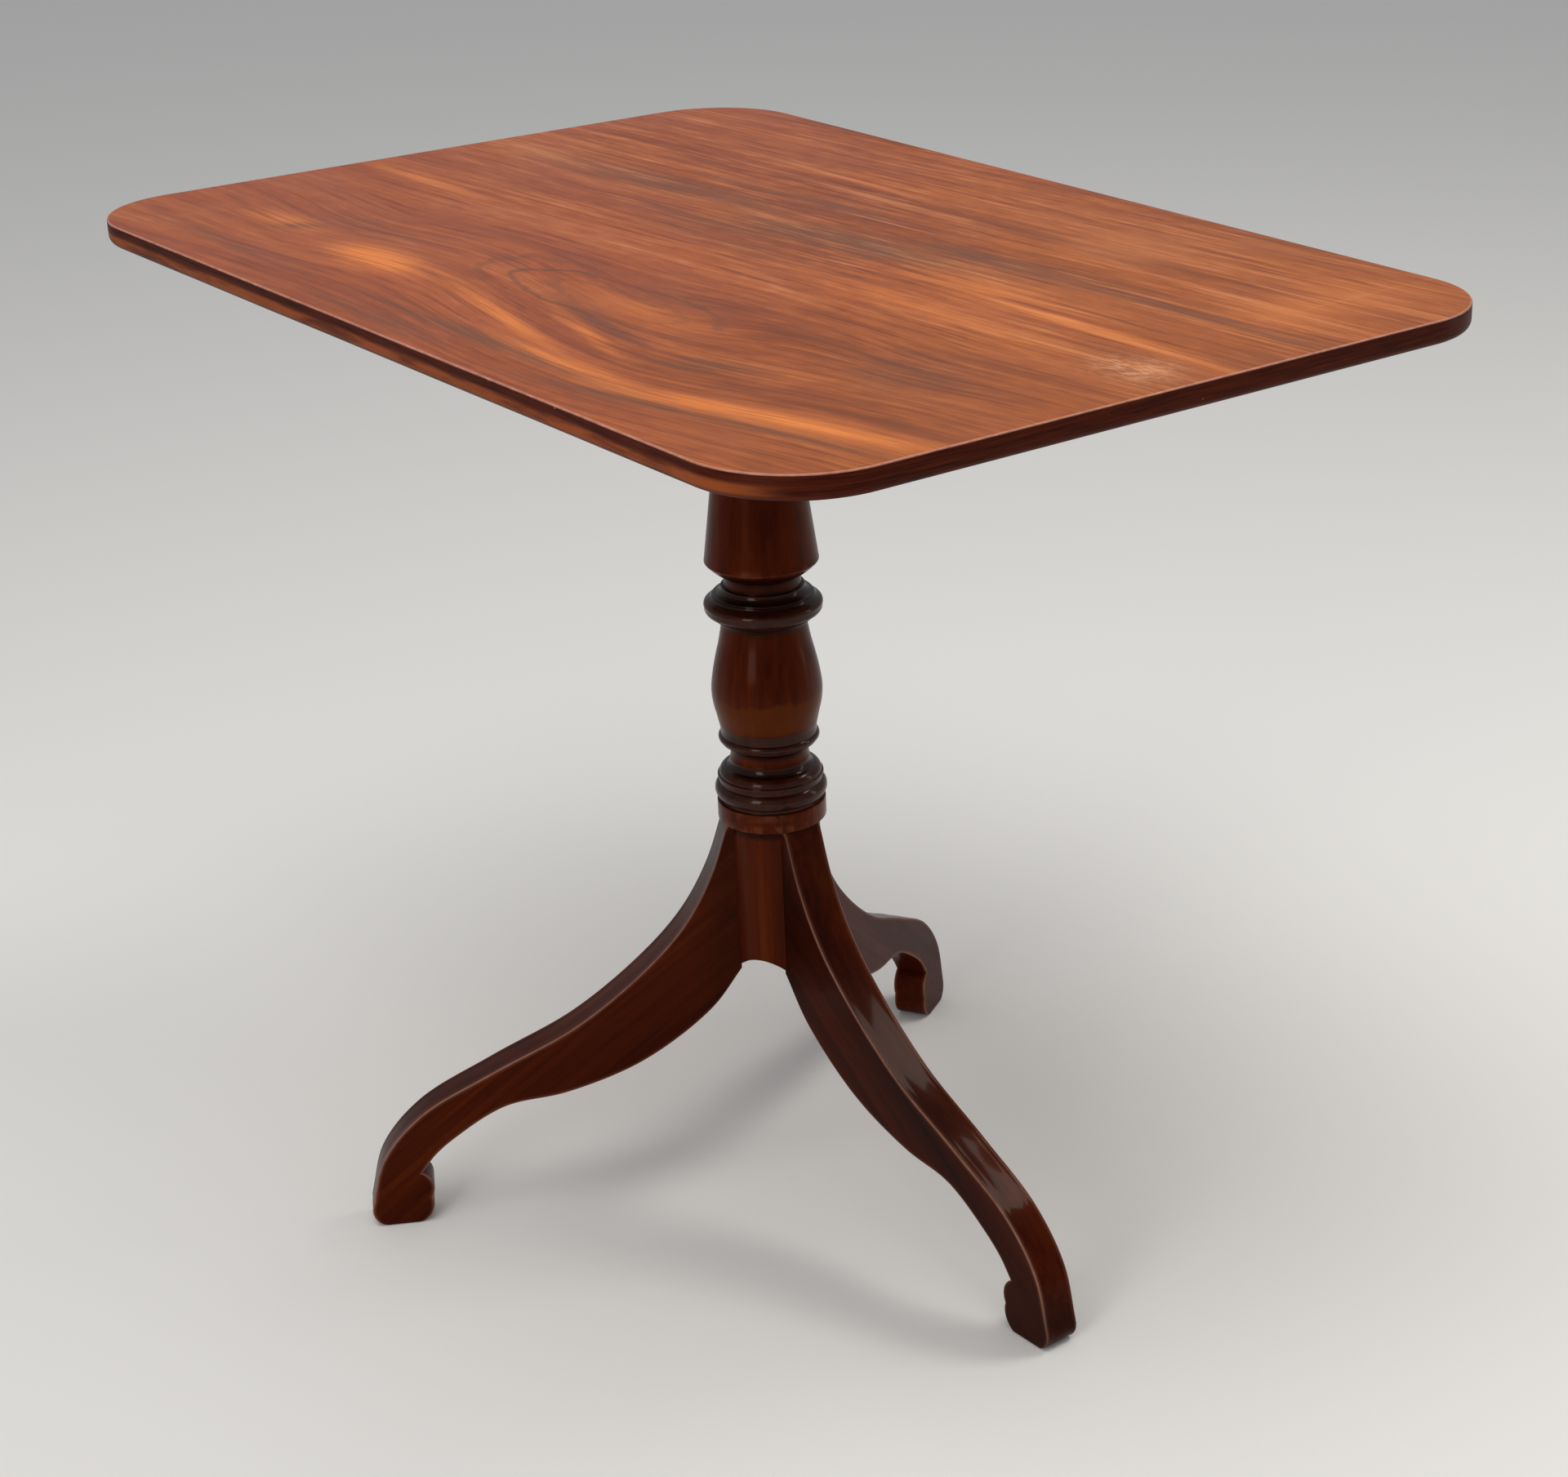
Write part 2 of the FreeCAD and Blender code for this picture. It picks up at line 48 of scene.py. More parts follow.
class Wire:
    # One output socket; arithmetic on it adds Math nodes
    def __init__(self, graph, socket):
        self.graph = graph
        self.socket = socket

    def __add__(self, other):
        return self.graph.maths("ADD", self, other)

    def __radd__(self, other):
        return self.graph.maths("ADD", other, self)

    def __sub__(self, other):
        return self.graph.maths("SUBTRACT", self, other)

    def __rsub__(self, other):
        return self.graph.maths("SUBTRACT", other, self)

    def __mul__(self, other):
        return self.graph.maths("MULTIPLY", self, other)

    def __rmul__(self, other):
        return self.graph.maths("MULTIPLY", other, self)

    def __truediv__(self, other):
        return self.graph.maths("DIVIDE", self, other)

    def __rtruediv__(self, other):
        return self.graph.maths("DIVIDE", other, self)

    def __neg__(self):
        return self.graph.maths("MULTIPLY", self, -1)

    def __abs__(self):
        return self.graph.maths("ABSOLUTE", self)


class Graph:
    # A node tree that is written as calls
    def __init__(self, tree):
        self.tree = tree
        tree.nodes.clear()

    def put(self, kind, settings=None, sockets=None):
        node = self.tree.nodes.new(kind)
        for key, value in (settings or {}).items():
            if key == "stops":
                self.setStops(node.color_ramp, value)
            else:
                setattr(node, key, value)
        for key, value in (sockets or {}).items():
            self.feed(self.findSocket(node, key), value)
        return node

    def add(self, kind, settings=None, sockets=None):
        return Wire(self, self.put(kind, settings, sockets).outputs[0])

    def findSocket(self, node, key):
        if isinstance(key, int):
            return node.inputs[key]
        for socket in node.inputs:
            if socket.identifier == key:
                return socket
        return node.inputs[key]

    def feed(self, socket, value):
        # A link or a plain value; a colour is written without its alpha
        if isinstance(value, Wire):
            self.tree.links.new(value.socket, socket)
        elif value is not None:
            socket.default_value = (*value, 1) if socket.type == "RGBA" else value

    def setStops(self, ramp, stops):
        while len(ramp.elements) < len(stops):
            ramp.elements.new(0.5)
        for element, (place, colour) in zip(ramp.elements, stops):
            element.position = place
            element.color = (*colour, 1)

    def maths(self, operation, first, second=None):
        return self.add("ShaderNodeMath", {"operation": operation}, {0: first, 1: second})

    def highest(self, *values):
        top = values[0]
        for value in values[1:]:
            top = self.maths("MAXIMUM", top, value)
        return top

    def clamp(self, value):
        return self.add("ShaderNodeClamp", None, {"Value": value})

    def smooth(self, value, low, high):
        # 0 below low, 1 above high and a soft step between
        settings = {"interpolation_type": "SMOOTHSTEP"}
        return self.add("ShaderNodeMapRange", settings, {"Value": value, "From Min": low, "From Max": high})

    def band(self, value, rise, fall):
        # 1 between two soft steps, each given by its ends
        return self.smooth(value, *rise) * (1 - self.smooth(value, *fall))

    def split(self, vector):
        node = self.put("ShaderNodeSeparateXYZ", None, {"Vector": vector})
        return [Wire(self, socket) for socket in node.outputs]

    def cloud(self, axes, scales, detail=3, roughness=0.5, distortion=0):
        # Noise that repeats so many times a metre; the last scale also serves the axes after it
        scales = scales + scales[-1:] * (len(axes) - len(scales))
        x, y, z = (axis * scale for axis, scale in zip(axes, scales))
        vector = self.add("ShaderNodeCombineXYZ", None, {"X": x, "Y": y, "Z": z})
        sockets = {"Vector": vector, "Scale": 1, "Detail": detail,
                   "Roughness": roughness, "Distortion": distortion}
        return self.add("ShaderNodeTexNoise", None, sockets)

    def blend(self, factor, first, second):
        sockets = {"Factor_Float": factor, "A_Color": first, "B_Color": second}
        node = self.put("ShaderNodeMix", {"data_type": "RGBA"}, sockets)
        return Wire(self, next(s for s in node.outputs if s.identifier == "Result_Color"))

    def ramp(self, value, stops):
        return self.add("ShaderNodeValToRGB", {"stops": stops}, {"Fac": value})

    def bump(self, height, strength, distance, normal=None):
        sockets = {"Strength": strength, "Distance": distance, "Height": height, "Normal": normal}
        return self.add("ShaderNodeBump", None, sockets)

    def objectAxes(self):
        return self.split(Wire(self, self.put("ShaderNodeTexCoord").outputs["Object"]))

    def attribute(self, name, output):
        node = self.put("ShaderNodeAttribute", {"attribute_name": name})
        return Wire(self, node.outputs[output])


def newMaterial(name):
    material = bpy.data.materials.new(name)
    material.use_nodes = True
    return material, Graph(material.node_tree)


def finishMaterial(g, sockets):
    g.put("ShaderNodeOutputMaterial", None, {"Surface": g.add("ShaderNodeBsdfPrincipled", None, sockets)})


woodGrain = {
    # Times a metre that each part of the grain repeats, along it and across it
    "drift": (3.0, 9.0), "bands": (1.6, 26.0), "streaks": (7.0, 190.0), "pores": (130.0, 1500.0),
    "driftReach": 0.012, "poreEdge": (0.60, 0.72),
    # Where the tones of the darker and hidden woods lie, from 0 to 1
    "stops": {"dark": 0.12, "low": 0.36, "mid": 0.58, "high": 0.88},
}


def woodFields(g, along, across, depth):
    # Broad bands, streaks and pores, each 0 to 1, drawn out along the grain
    drift = g.cloud((along, across, depth), woodGrain["drift"], 2)
    axes = (along, across + (drift - 0.5) * woodGrain["driftReach"], depth)
    bands = g.cloud(axes, woodGrain["bands"], 3, 0.55)
    streaks = g.cloud(axes, woodGrain["streaks"], 4, 0.6)
    pores = g.cloud(axes, woodGrain["pores"], 2)
    return bands, streaks, g.smooth(pores, *woodGrain["poreEdge"])


def woodTones(g, tone, look, stops):
    # The bare wood's colour, from the tones in its look
    return g.ramp(g.clamp(tone), [(place, look[name]) for name, place in stops.items()])


def cover(g, colour, look, layers):
    # Lays colours of the look over the wood, one after the other
    for mask, tint in layers:
        colour = g.blend(mask, colour, look[tint])
    return colour


topLook = {
    "grainSlope": 0.065,  # the streaks climb towards the +X end
    "dark": (0.140, 0.030, 0.010), "low": (0.215, 0.047, 0.013), "mid": (0.305, 0.071, 0.017),
    "high": (0.400, 0.110, 0.028), "pale": (0.540, 0.200, 0.078),
    "stops": {"dark": 0.16, "low": 0.36, "mid": 0.50, "high": 0.66, "pale": 0.86},
    "rose": (0.300, 0.072, 0.034), "amber": (0.720, 0.215, 0.045), "tan": (0.320, 0.100, 0.024),
    "shadow": (0.135, 0.050, 0.026), "scuff": (0.620, 0.330, 0.190), "arris": (0.480, 0.225, 0.160),
    "edge": (0.020, 0.0026, 0.0008), "edgeHigh": (0.085, 0.0120, 0.0030),
    # The next colour is a painted highlight on the lower half of the front edge
    "frontEdgeHighlight": (0.240, 0.0560, 0.0140),
    "specular": 0.05, "coat": 0.18, "coatRoughness": 0.13, "edgeDulling": 0.85,
    # Times a metre that each noise repeats: along the board, across it and down
    "scales": {"slow": (4.0, 7.0), "silk": (12.0, 360.0, 40.0), "hair": (40.0, 1100.0, 60.0),
               "mottle": (42.0, 95.0, 60.0), "eyeWaver": (14.0, 26.0, 14.0), "rub": (150.0,),
               "edgeGrain": (25.0, 25.0, 700.0), "edgePatches": (16.0, 16.0, 150.0),
               "smear": (9.0, 14.0, 9.0)},
    # How strongly each colour covers the wood
    "strength": {"rose": 0.45, "tan": 0.35, "threads": 0.45, "gaps": 0.45, "amber": 0.85, "pale": 0.80,
                 "shade": 0.85, "pores": 0.28, "scuffs": 0.62, "chips": 0.80},
    # Soft steps in metres, outwards from the board's outline
    "outward": {"side": (-0.0009, -0.0004), "line": (-0.0019, -0.0010), "chips": (-0.0014, -0.0006)},
    # Soft steps in metres, down from its top face and in from its front edge
    "down": {"side": (0.0008, 0.0022), "line": (0.0006, 0.0012), "highlightFrom": (0.0050, 0.0085),
             "highlightTo": (0.0115, 0.0150)},
    "front": (0.0020, 0.0300),
    # Pulls that bend the figure: x, y, reach in x, reach in y, pull
    "pulls": [(0.055, -0.135, 0.160, 0.038, 0.027), (0.165, -0.215, 0.160, 0.085, 0.040),
              (-0.250, -0.150, 0.090, 0.060, 0.018), (-0.120, -0.200, 0.090, 0.040, -0.012),
              (0.300, -0.090, 0.080, 0.050, 0.012)],
    # The eye in the figure: x, y, half length, half height, then its rings' reach and strength
    "eye": (0.054, -0.136, 0.112, 0.030), "eyeRings": [(1.0, 0.75), (0.62, 0.35), (1.42, 0.40)],
    # Stains and lights: x, y, reach in x, reach in y, strength and, for some, the slope
    "amberSpots": [(-0.152, -0.192, 0.046, 0.018, 1.20), (-0.290, -0.188, 0.045, 0.012, 0.60),
                   (0.270, 0.044, 0.130, 0.006, 0.95), (0.190, 0.052, 0.060, 0.026, 0.45),
                   (0.350, 0.180, 0.035, 0.060, 0.40), (0.075, -0.136, 0.075, 0.018, 0.40),
                   (0.320, -0.208, 0.110, 0.011, 0.95, 0.30), (0.150, -0.236, 0.080, 0.011, 0.75),
                   (0.020, -0.205, 0.110, 0.008, 0.70, -0.20), (0.100, -0.190, 0.060, 0.006, 0.55, -0.25),
                   (-0.340, -0.050, 0.060, 0.008, 0.50), (0.190, 0.000, 0.140, 0.014, 0.35)],
    "paleSpots": [(-0.150, 0.181, 0.090, 0.0030, 1.00), (-0.065, 0.158, 0.100, 0.0045, 0.75),
                  (0.160, 0.185, 0.045, 0.040, 0.42), (-0.355, 0.064, 0.050, 0.0040, 0.80),
                  (0.330, 0.003, 0.060, 0.0040, 0.60), (0.388, 0.008, 0.015, 0.018, 0.90),
                  (-0.210, -0.015, 0.070, 0.0040, 0.40), (-0.320, -0.050, 0.040, 0.0050, 0.45),
                  (0.350, 0.200, 0.0020, 0.070, 0.35), (0.050, -0.028, 0.040, 0.0030, 0.35),
                  (0.330, 0.160, 0.110, 0.0030, 0.50), (0.300, 0.044, 0.100, 0.0022, 0.80),
                  (0.040, 0.232, 0.120, 0.0030, 0.35)],
    "darkSpots": [(-0.215, 0.072, 0.130, 0.020, 0.85, 0.10), (0.020, 0.066, 0.120, 0.026, 1.00, 0.12),
                  (0.130, 0.104, 0.100, 0.015, 0.90, 0.10), (0.290, 0.112, 0.170, 0.008, 0.85, 0.04),
                  (-0.040, 0.006, 0.090, 0.012, 0.45, 0.05), (-0.080, 0.120, 0.120, 0.011, 0.55, 0.06),
                  (-0.070, 0.030, 0.120, 0.018, 0.50, 0.05), (0.205, -0.178, 0.035, 0.018, 0.85, 0.45),
                  (0.300, -0.100, 0.055, 0.040, 0.50), (0.090, -0.172, 0.080, 0.007, 0.70, -0.15),
                  (0.060, -0.245, 0.120, 0.008, 0.90), (0.270, -0.240, 0.130, 0.007, 0.80, 0.24),
                  (-0.260, -0.247, 0.110, 0.008, 0.55), (-0.020, -0.268, 0.090, 0.010, 0.60),
                  (-0.230, -0.155, 0.060, 0.020, 0.35), (-0.268, -0.186, 0.016, 0.012, 0.80, 0.60)],
    # The rubbed place at the right-hand end: x, y, reach in x, reach in y, strength
    "scuffPlace": (0.378, 0.006, 0.026, 0.019, 1.30),
}


def spot(g, x, y, place):
    # A soft oval of the given strength; a sixth number leans it
    midX, midY, reachX, reachY, strength, *slope = place
    across = (x - midX) / reachX
    lean = (x - midX) * slope[0] if slope else 0
    up = (y - midY - lean) / reachY
    return g.maths("EXPONENT", -(across * across + up * up)) * strength


def spots(g, x, y, places, breaks):
    # Several ovals, broken into strokes by the grain
    strongest = g.highest(*(spot(g, x, y, place) for place in places))
    return g.clamp(strongest * (0.50 + g.smooth(breaks, 0.38, 0.60) * 0.85))


def edgeDistance(g, x, y, low, high):
    # How far a point lies outside the board's outline, below 0 inside it
    radius = topBoardLook["cornerRadius"]
    outX = abs(x - (low.x + high.x) / 2) - ((high.x - low.x) / 2 - radius)
    outY = abs(y - (low.y + high.y) / 2) - ((high.y - low.y) / 2 - radius)
    pastX, pastY = g.highest(outX, 0), g.highest(outY, 0)
    corner = g.maths("SQRT", pastX * pastX + pastY * pastY)
    return corner + g.maths("MINIMUM", g.highest(outX, outY), 0) - radius


def eyeRings(g, x, y, z, colour, breaks):
    # Broken dark rings round the eye in the figure
    look = topLook
    eyeX, eyeY, halfLong, halfHigh = look["eye"]
    waver = (g.cloud((x, y, z), look["scales"]["eyeWaver"], 3, 0.6) - 0.5) * 0.75
    across, up = (x - eyeX) / halfLong, (y - eyeY) / halfHigh
    away = g.maths("SQRT", across * across + up * up) + waver
    gap = g.smooth(breaks - (x - eyeX) * 1.5, 0.50, 0.85)
    for middle, strength in look["eyeRings"]:
        ring = 1 - g.smooth(abs(away - middle), 0.015, 0.075)
        colour = g.blend(ring * gap * strength, colour, look["shadow"])
    return colour


def boardEdge(g, x, y, z, colour):
    # Dark edge with a rubbed arris, whose pale line is wear and a painted highlight; gives the colour and
    # how much of a place is edge
    look, scales, outward, down = topLook, topLook["scales"], topLook["outward"], topLook["down"]
    low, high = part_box("top_board")
    distance, depth = edgeDistance(g, x, y, low, high), high.z - z
    edge = g.highest(g.smooth(distance, *outward["side"]), g.smooth(depth, *down["side"]))
    grain = g.cloud((x, y, z), scales["edgeGrain"], 3, 0.6)
    tone = g.ramp(grain, [(0.30, look["edge"]), (0.75, look["edgeHigh"])])
    # The long front edge is painted paler along its lower half: a painted highlight where its rounded lower
    # part catches the light
    lowHalf = g.band(depth, down["highlightFrom"], down["highlightTo"])
    front = 1 - g.smooth(y - low.y, *look["front"])
    patches = g.smooth(g.cloud((x, y, z), scales["edgePatches"], 3, 0.6), 0.36, 0.62)
    tone = g.blend(lowHalf * front * (0.25 + patches * 0.75), tone, look["frontEdgeHighlight"])
    rub = g.cloud((x, y, z), scales["rub"], 3, 0.6)
    line = g.smooth(distance, *outward["line"]) * (1 - g.smooth(depth, *down["line"]))
    chips = g.smooth(rub, 0.72, 0.76) * g.smooth(distance, *outward["chips"])
    colour = g.blend(edge, colour, tone)
    # The pale arris line is partly wear and partly a painted highlight; the chips are wear
    colour = cover(g, colour, look, [(g.clamp(line * (0.20 + rub)), "arris"),
                                     (chips * look["strength"]["chips"], "arris")])
    return colour, edge


def makeTopMaterial():
    look, scales, strength = topLook, topLook["scales"], topLook["strength"]
    material, g = newMaterial("topMahogany")
    x, y, z = g.objectAxes()
    slow = g.cloud((x, y, z), scales["slow"])
    figure = y - x * look["grainSlope"] + (slow - 0.5) * 0.012
    for pull in look["pulls"]:
        figure = figure + spot(g, x, y, pull)
    bands, streaks, pores = woodFields(g, x, figure, z)
    silk = g.cloud((x, figure, z), scales["silk"], 3, 0.65)
    hair = g.cloud((x, figure, z), scales["hair"], 2, 0.6)
    mottle = g.cloud((x, figure, z), scales["mottle"], 3, 0.6)
    tone = bands * 0.85 + streaks * 0.72 + silk * 0.50 + hair * 0.35 + mottle * 0.38
    colour = woodTones(g, tone - 0.90, look, look["stops"])
    rosy = g.smooth(slow + (0.10 - x) * 0.9 - y * 0.9, 0.40, 0.95)
    tan = g.smooth(x * 0.9 + y * 0.5 + (slow - 0.5) * 0.6, -0.05, 0.40)
    threads = g.smooth(silk + (streaks - 0.5) * 0.5, 0.58, 0.70) * g.smooth(y, -0.10, 0.06)
    gaps = g.smooth(0.5 - silk + (0.5 - streaks) * 0.5, 0.08, 0.20)
    strokes = silk * 0.7 + hair * 0.3
    amber = spots(g, x, y, look["amberSpots"], streaks * 0.5 + strokes * 0.5)
    pale = spots(g, x, y, look["paleSpots"], strokes)
    shade = spots(g, x, y, look["darkSpots"], 1 - (streaks * 0.4 + strokes * 0.6))
    colour = cover(g, colour, look, [
        (rosy * strength["rose"], "rose"), (tan * strength["tan"], "tan"),
        (threads * strength["threads"], "pale"), (gaps * strength["gaps"], "dark"),
        (amber * strength["amber"], "amber"), (pale * strength["pale"], "pale"),
        (shade * strength["shade"], "shadow")])
    colour = eyeRings(g, x, y, z, colour, slow + streaks * 0.4)
    nicks = g.cloud((x * 120.0 + y * 60.0, y * 640.0 - x * 140.0, z * 60.0), (1.0,), 3, 0.6)
    scuffs = g.clamp(spot(g, x, y, look["scuffPlace"])) * g.smooth(nicks, 0.46, 0.60)
    colour = cover(g, colour, look, [(pores * strength["pores"], "shadow"),
                                     (scuffs * strength["scuffs"], "scuff")])
    colour, edge = boardEdge(g, x, y, z, colour)
    smear = g.cloud((x, y, z), scales["smear"], 4, 0.6, 0.8)
    sheen = g.bump(smear * 0.6 + slow * 0.8, 0.05, 0.004)
    finishMaterial(g, {
        "Base Color": colour, "Roughness": 0.32 + smear * 0.16 + pale * 0.12 + silk * 0.05,
        "Normal": g.bump(silk * 0.35 - pores * 0.8, 0.10, 0.0002, sheen),
        "Specular IOR Level": look["specular"],
        "Coat Weight": (look["coat"] - smear * 0.12) * (1 - edge * look["edgeDulling"]),
        "Coat Roughness": look["coatRoughness"], "Coat IOR": 1.45})
    return material


turnedLook = {
    "dark": (0.012, 0.0010, 0.0003), "low": (0.030, 0.0030, 0.0005), "mid": (0.060, 0.0076, 0.0010),
    # The grime colour is also laid in the turning's hollows as painted shade
    "high": (0.118, 0.0220, 0.0030), "grimeAndShade": (0.004, 0.0010, 0.0007), "wearAndHighlight": (0.200, 0.0700, 0.0330),
    "coatRoughness": 0.12, "specular": 0.09, "tint": (1.0, 0.30, 0.10), "coat": 0.06, "ringCoat": 0.26,
    # The vase's lower half is painted paler and browner, a painted reflection of the pale floor, up to a
    # wavering line at this height
    "bellyReflection": (0.085, 0.0180, 0.0016), "reflectionTop": 0.3985, "reflectionWaver": 0.016,
    # Heights of the members that handling and polish have darkened, painted nearly black with a painted
    # dark reflection of the top's underside as well, and how they fade
    "blackened": [(0.3172, 0.3470), (0.3606, 0.3742), (0.4566, 0.4768)], "blackFade": (0.0008, 0.0004),
}

legLook = {
    "dark": (0.010, 0.0008, 0.0002), "low": (0.026, 0.0026, 0.0004), "mid": (0.052, 0.0062, 0.0008),
    # The worn colour is laid along the arrises as wear and a painted highlight
    "high": (0.100, 0.0180, 0.0024), "grimeAndShade": (0.005, 0.0010, 0.0005), "wearAndHighlight": (0.340, 0.1600, 0.1100),
    "coatRoughness": 0.07, "specular": 0.05, "tint": (1.0, 0.36, 0.15), "coat": 0.06,
    "grainTilt": math.radians(38),
}


def polishedWood(g, axes, look, grimeAndShade, wearAndHighlight, extraCoat=0, bellyReflection=None):
    # Dark polished mahogany; axes run along the grain, across it and into it
    bands, streaks, pores = woodFields(g, *axes)
    colour = woodTones(g, bands * 0.95 + streaks * 0.55 - 0.26, look, woodGrain["stops"])
    grimeAndShade = g.clamp(grimeAndShade)
    layers = [(pores * 0.35, "dark")] + ([(bellyReflection, "bellyReflection")] if bellyReflection else [])
    colour = cover(g, colour, look, layers + [(g.clamp(wearAndHighlight), "wearAndHighlight"), (grimeAndShade, "grimeAndShade")])
    smear = g.cloud(axes, (16.0, 30.0), 4, 0.6, 0.6)
    swell = g.bump(smear, 0.06, 0.003)
    finishMaterial(g, {
        "Base Color": colour, "Roughness": 0.22 + smear * 0.16 + grimeAndShade * 0.08,
        "Normal": g.bump(streaks * 0.3 - pores * 0.8, 0.12, 0.0002, swell),
        "Specular IOR Level": look["specular"], "Specular Tint": look["tint"],
        "Coat Weight": look["coat"] * (1.25 - smear * 0.5) + extraCoat,
        "Coat Roughness": look["coatRoughness"], "Coat IOR": 1.47})


def makePillarMaterial():
    look = turnedLook
    material, g = newMaterial("turnedMahogany")
    x, y, z = g.objectAxes()
    rub = g.cloud((x, y, z), (90.0, 90.0, 60.0), 3, 0.6)
    outer, inner = look["blackFade"]
    black = g.highest(*(g.band(z, (low - outer, low + inner), (high - inner, high + outer))
                        for low, high in look["blackened"]))
    hollow, proud = g.attribute("hollow", "Fac"), g.attribute("proud", "Fac")
    # The hollows are darkened as painted shade mixed with grime; the nearly black members as dark stain and
    # painted dark reflection
    grimeAndShade = g.highest(hollow * (0.45 + rub * 0.8), black * (0.25 + rub * 0.8))
    wearAndHighlight = proud * g.smooth(rub, 0.46, 0.66) * 0.35
    # The painted reflection on the vase's belly starts where the ring below the vase ends
    low, high = look["blackened"][1][1], look["reflectionTop"]
    wavering = z + (rub - 0.5) * look["reflectionWaver"]
    bellyReflection = g.smooth(z, low, low + 0.003) * (1 - g.smooth(wavering, high - 0.002, high + 0.002))
    polishedWood(g, (z, x, y), look, grimeAndShade, wearAndHighlight, black * look["ringCoat"], bellyReflection * 0.65)
    return material


def makeLegMaterial():
    material, g = newMaterial("legMahogany")
    out, width, up = g.split(g.attribute("legPlace", "Vector"))
    tilt = legLook["grainTilt"]
    along = out * math.cos(tilt) - up * math.sin(tilt)
    across = out * math.sin(tilt) + up * math.cos(tilt)
    rub = g.cloud((out, width, up), (70.0,), 3, 0.6)
    # Darker towards the foot, and at the root by the pillar as a painted dark reflection; the rub spots are
    # grime
    foot = 1 - g.smooth(up, 0.004, 0.055)
    root = 1 - g.smooth(out, 0.034, 0.070)
    grimeAndShade = foot * (0.25 + rub * 0.5) + root * (0.20 + rub * 0.4) + g.smooth(rub, 0.68, 0.76) * 0.25
    # Pale along the arrises: wear, and a painted highlight where they catch the light
    wearAndHighlight = g.attribute("arris", "Fac") * (0.25 + rub * 0.75)
    polishedWood(g, (along, across, width), legLook, grimeAndShade, wearAndHighlight)
    return material


plainWoods = {
    "bearerMahogany": {
        "dark": (0.060, 0.022, 0.012), "low": (0.120, 0.046, 0.024), "mid": (0.210, 0.085, 0.042),
        "high": (0.300, 0.130, 0.066), "dust": (0.230, 0.170, 0.120)},
    "undersideMahogany": {
        "dark": (0.075, 0.030, 0.017), "low": (0.140, 0.056, 0.030), "mid": (0.225, 0.096, 0.050),
        "high": (0.310, 0.145, 0.078), "dust": (0.260, 0.195, 0.140)},
    "pinOak": {
        "dark": (0.120, 0.070, 0.034), "low": (0.230, 0.140, 0.070), "mid": (0.350, 0.220, 0.115),
        "high": (0.450, 0.300, 0.170), "dust": (0.260, 0.210, 0.150)},
}


def makePlainWood(name, grainAxis):
    # Oiled or bare wood of the hidden pieces, its grain along one axis
    look = plainWoods[name]
    material, g = newMaterial(name + grainAxis)
    place = g.objectAxes()
    axes = [place[i] for i in {"X": (0, 1, 2), "Y": (1, 0, 2), "Z": (2, 0, 1)}[grainAxis]]
    bands, streaks, pores = woodFields(g, *axes)
    colour = woodTones(g, bands * 0.9 + streaks * 0.6 - 0.25, look, woodGrain["stops"])
    scuffs = g.cloud(axes, (22.0, 60.0), 5, 0.65)
    dusty = g.smooth(scuffs, 0.52, 0.80)
    finishMaterial(g, {
        "Base Color": cover(g, colour, look, [(pores * 0.4, "dark"), (dusty * 0.45, "dust")]),
        "Roughness": 0.52 + scuffs * 0.25, "Specular IOR Level": 0.35,
        "Normal": g.bump(streaks * 0.5 - pores + scuffs * 0.4, 0.25, 0.0004)})
    return material


metalLooks = {
    "agedBrass": {
        "bright": (0.560, 0.385, 0.150), "dull": (0.215, 0.135, 0.055), "dirt": (0.050, 0.034, 0.018),
        "roughness": 0.32},
    "ironScrew": {
        "bright": (0.230, 0.210, 0.195), "dull": (0.090, 0.080, 0.074), "dirt": (0.120, 0.050, 0.022),
        "roughness": 0.48},
    "springSteel": {
        "bright": (0.440, 0.440, 0.450), "dull": (0.220, 0.215, 0.215), "dirt": (0.110, 0.060, 0.035),
        "roughness": 0.34},
}


def makeMetal(name):
    look = metalLooks[name]
    material, g = newMaterial(name)
    axes = g.objectAxes()
    tarnish = g.cloud(axes, (260.0,), 4, 0.6)
    brushed = g.cloud(axes, (3000.0, 320.0), 3, 0.6)
    dirt = g.smooth(g.cloud(axes, (900.0,), 4, 0.65), 0.56, 0.70)
    colour = g.ramp(tarnish * 0.7 + brushed * 0.3, [(0.25, look["dull"]), (0.70, look["bright"])])
    finishMaterial(g, {
        "Base Color": g.blend(dirt * 0.6, colour, look["dirt"]), "Metallic": 1 - dirt * 0.7,
        "Roughness": look["roughness"] + tarnish * 0.18 + dirt * 0.25,
        "Normal": g.bump(brushed * 0.6 + tarnish * 0.4, 0.12, 0.0002)})
    return material


def newObject(name, mesh):
    piece = bpy.data.objects.new(name, mesh)
    bpy.context.scene.collection.objects.link(piece)
    return piece


def openMesh(mesh):
    bm = bmesh.new()
    bm.from_mesh(mesh)
    return bm


def closeMesh(bm, mesh):
    bm.to_mesh(mesh)
    bm.free()
    return mesh


def meshFrom(name, bm, sharpAngle):
    bmesh.ops.recalc_face_normals(bm, faces=bm.faces)
    for edge in bm.edges:
        edge.smooth = len(edge.link_faces) == 2 and edge.calc_face_angle(0) < sharpAngle
    for face in bm.faces:
        face.smooth = True
    return closeMesh(bm, bpy.data.meshes.new(name))


def settle(piece, body, node):
    # The piece moves with its body and takes the place of its CAD node
    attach(piece, body)
    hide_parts(node)
    return piece


def bakeModifiers(holder):
    bpy.context.view_layer.update()
    evaluated = holder.evaluated_get(bpy.context.evaluated_depsgraph_get())
    mesh = bpy.data.meshes.new_from_object(evaluated)
    holder.modifiers.clear()
    bpy.data.objects.remove(holder)
    return mesh


